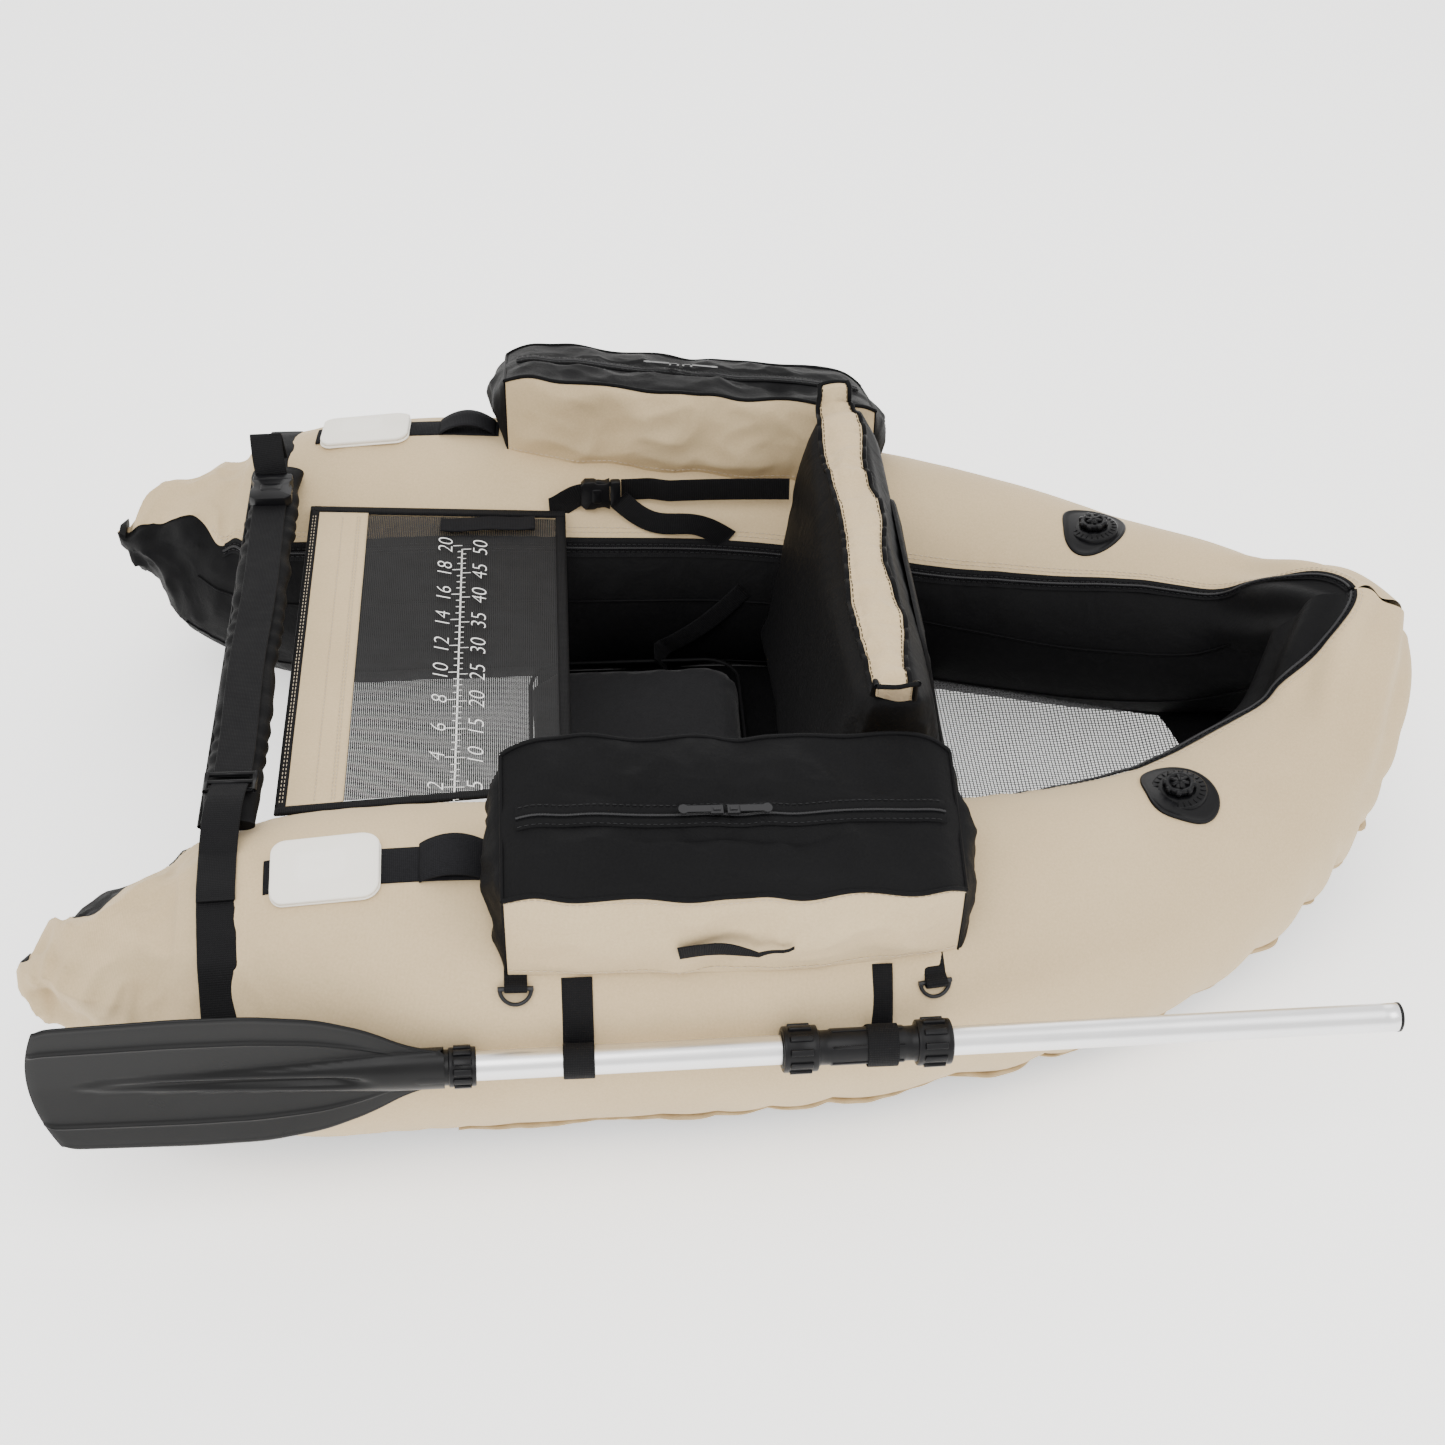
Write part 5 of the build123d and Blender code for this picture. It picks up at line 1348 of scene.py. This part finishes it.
def back_straps():
    """Side straps of the backrest with their release buckles."""
    for label, side in (("left", LEFT), ("right", RIGHT)):
        female, male = release_buckle(0.034, 0.038, 0.011)
        frame_at = Matrix(((1, 0, 0, BACK_BUCKLE_X), (0, 0, -1, BACK_STRAP_Y),
                (0, 1, 0, BACK_STRAP_Z), (0, 0, 0, 1)))
        node = ["back_buckle_females"] if side == LEFT else []
        emit(label + "_back_buckle_body", [moved(female, frame_at)], PLASTIC, "hull",
            side, node, bevel=0.001)
        emit(label + "_back_buckle_prongs", [moved(male, frame_at)], PLASTIC, label
            + "_back_buckle", side, [label + "_back_buckle_male"],
            bevel=0.0008)
        x = np.linspace(BACK_STRAP_START - 0.004, BACK_BUCKLE_X - 0.030, 30)
        front = np.stack([x, BACK_STRAP_Y + 0.0008 * np.sin(x * 90), BACK_STRAP_Z - 0.020
                * smooth_step(-0.150, -0.190, x)], -1)
        foot_z = float(surface_z(BACK_STRAP_START, BACK_STRAP_Y)) + 0.002
        drop = np.stack([np.full(8, BACK_STRAP_START - 0.006), np.full(8, BACK_STRAP_Y),
                np.linspace(foot_z - 0.004, BACK_STRAP_Z - 0.024, 8)], -1)
        tail_share = np.linspace(0, 1, 34)
        tail = np.stack([
            BACK_BUCKLE_X + 0.010 + 0.130 * tail_share, BACK_STRAP_Y - 0.004 - 0.018
                * np.sin(pi * tail_share * 0.7),
            BACK_STRAP_Z - 0.006 - 0.052 * tail_share - 0.010 * np.sin(2 * pi * tail_share),
        ], -1)
        strips = [ribbon(front, np.broadcast_to((0, 0, 1.0), front.shape), NARROW_WEB,
                WEBBING), ribbon(tail, np.broadcast_to((0.35, 0.1, 1.0), tail.shape),
                NARROW_WEB * 0.92, WEBBING)]
        strips.append(ribbon(drop, np.broadcast_to((1.0, 0, 0), drop.shape), NARROW_WEB, WEBBING))
        emit(label + "_back_strap_front", strips, WEB, "hull", side, ["back_straps"]
            if side == LEFT else [])
        end_x = BACK_X + (BACK_RIDGE_X - BACK_X) * (BACK_STRAP_Z - BACK_BASE) / (BACK_TOP
            - BACK_BASE)
        x = np.linspace(BACK_BUCKLE_X + 0.0135, end_x + 0.002, 60)
        over_head = 0.0072 * (1 - smooth_step(0.030, 0.060, x - x[0]))
        rear = np.stack([x, BACK_STRAP_Y + over_head + 0.003
                * np.sin(pi * (x - x[0]) / (x[-1] - x[0])), BACK_STRAP_Z + 0 * x], -1)
        part = sided(ribbon(rear, np.broadcast_to((0, 0, 1.0), rear.shape), NARROW_WEB,
                WEBBING), side)
        verts, faces, uvs = part
        strap = build(label + "_back_strap_rear", verts, faces, WEB, "hull", uvs)
        strap.parent = None
        strap.matrix_world = Matrix.Identity(4)
        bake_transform(strap)


# ---- fittings on the tubes -------------------------------------------------
PAD_X, PAD_ANGLE, PAD_LENGTH, PAD_WIDTH, PAD_THICKNESS = -0.414, 9.0, 0.108, 0.076, 0.008
STRIP_START, STRIP_END = -0.476, -0.262
D_RING_X, D_RING_ANGLE = (-0.230, 0.176), (54.0, 61.0)
VALVE_X, VALVE_PATCH_RADIUS = 0.462, 0.046


def on_tube(x, angle, flat):
    """Take flat (along, round, height) points on to the tube about a place."""
    s0 = distance_at(x, angle)
    radius = hermite(s0)[0, 3]
    s = s0 + flat[..., 0]
    a = angle + np.degrees(flat[..., 1] / radius)
    return skin(s, a, flat[..., 2])[0]


def fly_pad(label, side):
    """Two-layer foam pad on its strip of hook-and-loop tape."""
    outline = rounded(PAD_LENGTH, PAD_WIDTH, 0.016, 8)
    base = 0.0022
    layers = []
    for low, high, grow in ((base, base + 0.0030, 1.0),
        (base + 0.0032, base + PAD_THICKNESS, 0.985)):
        rings = []
        for share, z in ((0.0, low), (0.97, low), (1.0, low + 0.0008), (1.0, high - 0.0014),
            (0.992, high - 0.0004), (0.97, high), (0.85, high + 0.0003), (0.6, high + 0.0006),
            (0.3, high + 0.0007), (0.0, high + 0.0007)):
            flat = np.c_[outline * share * grow, np.full(len(outline), z)]
            flat[:, 2] += 0.0005 * np.sin(flat[:, 0] * 60) * share
            rings.append(on_tube(PAD_X, PAD_ANGLE, flat))
        layers.append(sheet_mesh(np.array(rings), loop_columns=True))
    piece = emit(label + "_foam_pad", layers, FOAM, label + "_fly_pad", side,
        [label + "_fly_pad"])
    x = np.linspace(STRIP_START - PAD_X, STRIP_END - PAD_X, 60)
    y = np.linspace(-0.021, 0.021, 10)
    flat = np.stack(np.broadcast_arrays(x[:, None], y[None], 0.0016), -1).copy()
    strip = on_tube(PAD_X, PAD_ANGLE, flat)
    share = np.linspace(0, 1, 40)
    loop = np.stack([STRIP_END - PAD_X - 0.066 + 0.062 * share, 0 * share, 0.003 + 0.013
            * np.sin(pi * share) ** 0.8 + 0.004 * share * 0], -1)
    cloth_loop = []
    for w in np.linspace(-0.023, 0.023, 8):
        cloth_loop.append(on_tube(PAD_X, PAD_ANGLE, loop + (0, w, 0.0006 * sin(w * 200))))
    fold = np.stack(cloth_loop, 1)
    parts = [sheet_mesh(strip), sheet_mesh(fold)]
    emit(label + "_hook_strip", parts, HOOK, "hull", side, ["fly_strips"]
        if side == LEFT else [], thickness=0.0012)


def d_rings(label, side):
    """Webbing tab of each D-ring, folded over the ring's bar."""
    for place, x, angle in zip(("front", "rear"), D_RING_X, D_RING_ANGLE):
        t = np.linspace(0, 1, 16)
        bar_lift = 0.0003 + 0.0032 + 0.0024
        down = np.stack([0 * t, -0.014 + 0.014 * t, 0.0014 + (bar_lift + 0.0022)
                * smooth_step(0.2, 1.0, t)], -1)
        a = np.linspace(pi / 2, -pi / 2, 12)
        over = np.stack([0 * a, 0.0036 * np.cos(a), bar_lift + 0.0036 * np.sin(a)], -1)
        back = np.stack([0 * t, -0.016 * t, bar_lift - 0.0036 - 0.0006 * t], -1)
        flat = np.concatenate([down, over[1:], back[1:]])
        path = on_tube(x, angle, flat)
        across = np.broadcast_to(np.array(local(x, angle))[:3, 0], path.shape)
        foot = np.stack([0 * t, -0.030 + 0.016 * t, 0.0014 + 0 * t], -1)
        foot_path = on_tube(x, angle, foot)
        foot_across = np.broadcast_to(across[0], foot_path.shape)
        emit(f"{label}_{place}_ring_tab", [ribbon(path, across, 0.022, WEBBING),
                ribbon(foot_path, foot_across, 0.022, WEBBING)], WEB, "hull", side,
             ["d_ring_tabs"] if (side, place) == (LEFT, "front") else [])


def valve(label, side):
    """Teardrop patch, welded flange and a ribbed screw cap."""
    turn = np.linspace(0, 2 * pi, 73)[:-1]
    point = 1 + 0.20 * np.exp(-((np.angle(np.exp(1j
                        * (turn - pi * 0.92)))) / 0.42) ** 2) - 0.04 * np.cos(2 * turn)
    rings = []
    for share, lift in ((0.0, 0.0028), (0.5, 0.0028), (0.80, 0.0027), (0.90, 0.0026),
        (0.93, 0.0034), (0.965, 0.0035), (1.0, 0.0026), (1.005, 0.0004)):
        r = VALVE_PATCH_RADIUS * share * point
        flat = np.stack([r * np.cos(turn), r * np.sin(turn), np.full(72, lift)], -1)
        rings.append(on_tube(VALVE_X, 0.0, flat))
    emit(label + "_valve_patch", [sheet_mesh(np.array(rings), loop_columns=True)], RUBBER,
        "hull", side, ["valve_patches"] if side == LEFT else [])
    place = local(VALVE_X, 0.0)
    steps = [(0.0135, 0.0056), (0.0165, 0.0061), (0.0175, 0.0060), (0.0205, 0.0062),
        (0.0225, 0.0044), (0.0275, 0.0040), (0.0290, 0.0032), (0.0292, -0.004)]
    parts = [lathe(steps[::-1])]
    for k in range(24):
        a = k * 2 * pi / 24
        parts.append(pipe([(0.0215 * cos(a), 0.0215 * sin(a), 0.0052),
                    (0.0275 * cos(a), 0.0275 * sin(a), 0.0040)], 0.0006, 5))
    emit(label + "_valve_flange", [moved(joined(*parts), place)], RUBBER, "hull",
        side, ["valve_bodies"] if side == LEFT else [])
    cap_profile = [(0.0110, 0.0040), (0.0112, 0.0076), (0.0150, 0.0077), (0.0156, 0.0082),
        (0.0156, 0.0128), (0.0148, 0.0140), (0.0110, 0.0144), (0.0105, 0.0128),
        (0.0070, 0.0126), (0.0064, 0.0150), (0.0040, 0.0156), (0.0, 0.0157)]
    cap = [lathe(cap_profile)]
    for k in range(8):
        a = k * 2 * pi / 8
        knob = slab(rounded(0.0050, 0.0058, 0.0014, 3), 0.0062, 0.0004)
        cap.append(moved(knob, Matrix.Rotation(a, 4, "Z") @ Matrix.Translation((0.0152, 0,
                        0.0078))))
    for k in range(3):
        cap.append(moved(slab(rounded(0.020, 0.0032, 0.001, 2), 0.0024),
                Matrix.Rotation(k * pi / 3, 4, "Z") @ Matrix.Translation((0, 0, 0.0136))))
    emit(label + "_valve_screw_cap", [moved(joined(*cap), place)], RUBBER, label
        + "_valve_cap", side, [label + "_valve_cap"])


# ---- paddle ----------------------------------------------------------------
PADDLE_NECK, PADDLE_END = Vector((-0.289, -0.547, 0.203)), Vector((0.636, -0.503, 0.175))
PADDLE_AXIS = (PADDLE_END - PADDLE_NECK).normalized()
SHAFT_RADIUS, COUPLING_START, COUPLING_LENGTH, COUPLING_RADIUS = 0.0142, 0.306, 0.174, 0.018
COLLAR_RADIUS, COLLAR_LENGTH, BLADE_LENGTH, BLADE_WIDTH = 0.0245, 0.034, 0.374, 0.172
OAR_STRAP_AT = (0.117, 0.408)
BLADE_NORMAL = (Vector((0, -1, 0)) - PADDLE_AXIS * Vector((0, -1, 0)).dot(PADDLE_AXIS)).normalized()


def paddle_frame(at):
    """Matrix with Z along the paddle and X off the blade's face, at a distance from the neck."""
    y_axis = PADDLE_AXIS.cross(BLADE_NORMAL)
    m = Matrix((BLADE_NORMAL, y_axis, PADDLE_AXIS)).transposed().to_4x4()
    m.translation = PADDLE_NECK + PADDLE_AXIS * at
    return m


def turned(profile, at=0.0, sides=40):
    """Turned piece on the paddle's axis from (radius, distance) pairs."""
    return moved(lathe(profile, sides), paddle_frame(at))


def paddle():
    """Blade, shafts, coupling, collars and end plug."""
    blade()
    joint_at = COUPLING_START + COUPLING_LENGTH / 2
    length = (PADDLE_END - PADDLE_NECK).length
    for name, start, end, node in (("lower", 0.004, joint_at - 0.002, "paddle_lower_shaft"),
        ("upper", joint_at + 0.002, length - 0.003, "paddle_upper_shaft")):
        path = [np.array(PADDLE_NECK + PADDLE_AXIS * t) for t in np.linspace(start, end, 30)]
        body = "paddle_lower" if name == "lower" else "paddle"
        emit(f"paddle_{name}_tube", [pipe(path, SHAFT_RADIUS, 48)], ALUMINIUM, body,
            stands_for=[node])
    r = SHAFT_RADIUS
    emit("paddle_plug_cap", [turned([(0.0, -0.001), (r - 0.002, -0.001), (r - 0.0001, -0.0006),
                    (r + 0.0005, 0.0002), (r + 0.0005, 0.0024), (r - 0.001, 0.0034),
                    (r - 0.004, 0.0036), (r - 0.005, 0.0028), (0, 0.0028)], length - 0.003)],
         PLASTIC, "paddle", stands_for=["paddle_end_plug"])
    c, length_c = COUPLING_RADIUS, COUPLING_LENGTH
    profile = [(r + 0.0003, 0.004), (c, 0.004), (c, 0.040), (c - 0.0012, 0.042),
        (c - 0.0012, 0.050), (c, 0.052), (c, length_c - 0.052), (c - 0.0012, length_c - 0.050),
        (c - 0.0012, length_c - 0.042), (c, length_c - 0.040), (c, length_c - 0.004),
        (r + 0.0003, length_c - 0.004)]
    parts = [turned(profile, COUPLING_START)]
    for k in range(6):
        slot_rib = moved(slab(rounded(0.0030, 0.070, 0.0012, 3), 0.0012),
            Matrix.Rotation(radians(90), 4, "Y") @ Matrix.Rotation(0, 4, "Z"))
        slot_rib = moved(slot_rib, Matrix.Rotation(k * pi / 3 + 0.3, 4,
                "Z") @ Matrix.Translation((c - 0.0004, 0, 0)) @ Matrix.Rotation(pi / 2, 4, "X"))
        parts.append(moved(slot_rib, paddle_frame(COUPLING_START + length_c / 2)))
    emit("paddle_coupling_tube", parts, PLASTIC, "paddle",
        stands_for=["paddle_coupling"])
    for label, at in (("lower", COUPLING_START + 0.005),
        ("upper", COUPLING_START + length_c - 0.005 - COLLAR_LENGTH)):
        ribbed_collar(f"coupling_ring_{label}", at, COLLAR_LENGTH, COUPLING_RADIUS + 0.0004,
            COLLAR_RADIUS, 10, "collar_" + label, f"coupling_collar_{label}")
    ribbed_collar("blade_ring", -0.006, 0.026, 0.0174, 0.0210, 12, "blade_collar", "blade_collar")


def ribbed_collar(name, at, length, inner, outer, ribs, body, node):
    """Hand-tightened collar with grip ribs."""
    core = outer - 0.0022
    parts = [turned([(inner, 0), (core - 0.001, 0), (core, 0.001), (core, length * 0.16),
                (core - 0.0006, length * 0.2), (core - 0.0006, length * 0.8),
                (core, length * 0.84), (core, length - 0.001), (core - 0.001, length),
                (inner, length), (inner, 0)], at)]
    for k in range(ribs):
        rib = slab(rounded(0.0040, 0.0064, 0.0012, 3), length * 0.62, 0.0003)
        rib = moved(rib, Matrix.Rotation(k * 2 * pi / ribs, 4,
                "Z") @ Matrix.Translation((core - 0.0001, 0, length * 0.19)))
        parts.append(moved(rib, paddle_frame(at)))
    emit(name, parts, PLASTIC, body, stands_for=[node], bevel=0.0006)


def blade():
    """Ribbed blade with a tapering spine and a squared, slightly raked tip."""
    u = np.linspace(0.010, BLADE_LENGTH + 0.018, 110)
    v = np.linspace(-1, 1, 61)
    half = BLADE_WIDTH / 2 * np.interp(u, (0.0, 0.045, 0.085, 0.13, 0.19, 0.26, BLADE_LENGTH,
            BLADE_LENGTH + 0.018), (0.21, 0.36, 0.66, 0.87, 0.985, 1.0, 0.955, 0.94))
    smooth = np.convolve(np.pad(half, 4, "edge"), np.ones(9) / 9, "valid")
    skew = 1 - 0.045 * (v[None] - 0.1) ** 2 - 0.02 * v[None]
    length = u[0] + (u - u[0])[:, None] * skew
    tip = np.exp(-((u - u[-1]) / 0.008) ** 2)[:, None]
    width = smooth[:, None] * v[None] * (1 - 0.05 * tip)
    spine_radius = np.interp(u, (0, 0.06, 0.16, 0.33, 0.37),
        (0.0168, 0.0165, 0.0120, 0.0050, 0.0))[:, None]
    fade = np.clip(1 - (width / np.maximum(spine_radius * 1.35, 1e-4)) ** 2, 0, 1)
    spine = spine_radius * np.sqrt(fade) * smooth_step(0.42, 0.34, u)[:, None]
    groove = 0.0125 * np.exp(-(width / 0.0050) ** 2) * np.interp(u, (0.08, 0.2, 0.33),
        (0.9, 0.8, 0.25))[:, None] * smooth_step(0.07, 0.12, u)[:, None] * smooth_step(0.36,
        0.30, u)[:, None]
    ribs = sum(0.0034 * np.exp(-((v[None] - at) / 0.020) ** 2)
        for at in (-0.60, 0.60)) * smooth_step(0.05, 0.12, u)[:, None]
    rim = 0.0013 * smooth_step(0.93, 0.975, np.abs(v))[None]
    bend = 0.006 * np.abs(v[None]) ** 1.5 * smooth_step(0.05, 0.2, u)[:, None]
    edge = np.sqrt(np.clip(1 - np.abs(v) ** 16, 0, 1))[None] * np.sqrt(np.clip(1 - tip ** 3
            * 0.9, 0, 1))
    thick = (0.0019 + ribs + rim) * edge
    m = np.array(paddle_frame(0.0))[:3, :3]
    sides = []
    for sign in (1, -1):
        height = sign * (np.maximum(thick, spine) - (groove if sign > 0 else 0)) + bend * 0.6
        flat = np.stack([height, width, -length], -1)
        points = flat @ m.T + np.array(PADDLE_NECK)
        sides.append(sheet_mesh(points, np.stack([length, width], -1), flip=sign < 0))
    socket = turned([(SHAFT_RADIUS + 0.0001, 0.016), (0.0168, 0.016), (0.0170, 0.0),
            (0.0170, -0.032), (0.0160, -0.050), (0.0120, -0.056)])
    piece = emit("paddle_blade_shell", sides + [socket], BLADE_PLASTIC, "paddle_lower",
        stands_for=["paddle_blade"])
    weld = piece.modifiers.new("weld", "WELD")
    weld.merge_threshold = 0.0004
    finish_edges(piece)
    return piece


def oar_straps():
    """Straps from the bag's lower seam, round the paddle and back to the tube."""
    strips = []
    for at, hold in zip(OAR_STRAP_AT, (SHAFT_RADIUS, COUPLING_RADIUS)):
        centre = np.array(PADDLE_NECK + PADDLE_AXIS * at) * (1, -1, 1)
        x = centre[0]
        angle = np.linspace(51.0, 76.0, 26)
        s = distance_at(x, 60.0)
        lying = skin(np.full(26, s), angle, 0.0016)[0]
        lying[:, 0] = x
        hold = hold + 0.0024
        first = lying[-1]
        a0 = radians(118)
        sweep = np.linspace(a0, a0 - radians(285), 46)
        loop = np.stack([np.full(46, x), centre[1] + hold * np.cos(sweep), centre[2] + hold
                * np.sin(sweep)], -1)
        joinery = first + (loop[0] - first) * np.linspace(0, 1, 9)[1:-1,
            None] + np.array((0, 0.002, 0.003)) * np.sin(pi * np.linspace(0, 1, 9)[1:-1, None])
        path = np.concatenate([lying, joinery, loop])
        across = np.broadcast_to((1.0, 0, 0), path.shape)
        strips.append(ribbon(path, across, NARROW_WEB, WEBBING))
    emit("paddle_holding_straps", strips, WEB, "hull", LEFT, ["oar_straps"])


# ---- CAD nodes that stay ---------------------------------------------------
def finish_cad():
    """Materials and softened edges for the nodes that are shown as built."""
    looks = {"slider": METAL, "d_ring": METAL, "stabilizer_bar": ALUMINIUM, "tail_panels": BLACK}
    for name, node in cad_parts.items():
        if node.hide_render:
            continue
        match = [look for key, look in looks.items() if key in name]
        node.data.materials.clear()
        node.data.materials.append(match[0] if match else PLASTIC)
        edge = node.modifiers.new("edge", "BEVEL")
        edge.width, edge.segments, edge.limit_method = 0.0006, 2, "ANGLE"
        edge.angle_limit = radians(40)
        for polygon in node.data.polygons:
            polygon.use_smooth = True


hull()
hull_zipper()
bladders()
bag("left", LEFT)
bag("right", RIGHT)
seat()
backrest()
cargo_floor()
apron()
stabilizer()
back_straps()
for tube_label, tube_side in (("left", LEFT), ("right", RIGHT)):
    fly_pad(tube_label, tube_side)
    d_rings(tube_label, tube_side)
    valve(tube_label, tube_side)
paddle()
oar_straps()
finish_cad()


# ---- stage -----------------------------------------------------------------
def stage():
    """Pale floor, soft lights and the camera."""
    mesh = bpy.data.meshes.new("floor")
    reach = 14.0
    mesh.from_pydata([(-reach, -reach, 0), (reach, -reach, 0), (reach, reach, 0),
            (-reach, reach, 0)], [], [(0, 1, 2, 3)])
    floor = bpy.data.objects.new("floor", mesh)
    bpy.context.scene.collection.objects.link(floor)
    pale, _, shader = surface("pale_floor", 0.9, specular=0.1)
    shader.inputs["Base Color"].default_value = (0.97, 0.97, 0.965, 1)
    shader.inputs["Emission Color"].default_value = (1.0, 0.995, 0.985, 1)
    shader.inputs["Emission Strength"].default_value = 0.9
    mesh.materials.append(pale)
    world = bpy.data.worlds.new("studio")
    world.use_nodes = True
    world.node_tree.nodes["Background"].inputs["Color"].default_value = (1.0, 0.99, 0.975, 1)
    world.node_tree.nodes["Background"].inputs["Strength"].default_value = 1.7
    bpy.context.scene.world = world
    for name, place, size, power in (
        ("key", (-0.7, -1.6, 2.6), 1.8, 42.0), ("fill", (1.6, -0.9, 2.0), 1.6, 14.0),
            ("back", (0.3, 2.2, 2.2), 2.0, 18.0),
    ):
        data = bpy.data.lights.new(name, "AREA")
        data.energy, data.size = power, size
        light = bpy.data.objects.new(name, data)
        light.location = place
        light.rotation_euler = (Vector((0, 0, 0.15)) - light.location).to_track_quat("-Z",
            "Y").to_euler()
        bpy.context.scene.collection.objects.link(light)
    azimuth, elevation, roll = radians(-4.38), radians(39.0), radians(1.0)
    distance, target = 2.719, Vector((0.0, 0.0, 0.1667)) + SHIFT
    back = Vector((sin(azimuth) * cos(elevation), -cos(azimuth) * cos(elevation), sin(elevation)))
    right = Vector((cos(azimuth), sin(azimuth), 0.0))
    up = right.cross(-back)
    turned_right = right * cos(roll) + up * sin(roll)
    turned_up = up * cos(roll) - right * sin(roll)
    camera = bpy.data.objects.new("camera", bpy.data.cameras.new("camera"))
    camera.data.lens, camera.data.sensor_width = 59.65, 36.0
    place = Matrix((turned_right, turned_up, back)).transposed().to_4x4()
    place.translation = target + back * distance
    camera.matrix_world = place
    bpy.context.scene.collection.objects.link(camera)
    bpy.context.scene.camera = camera


stage()
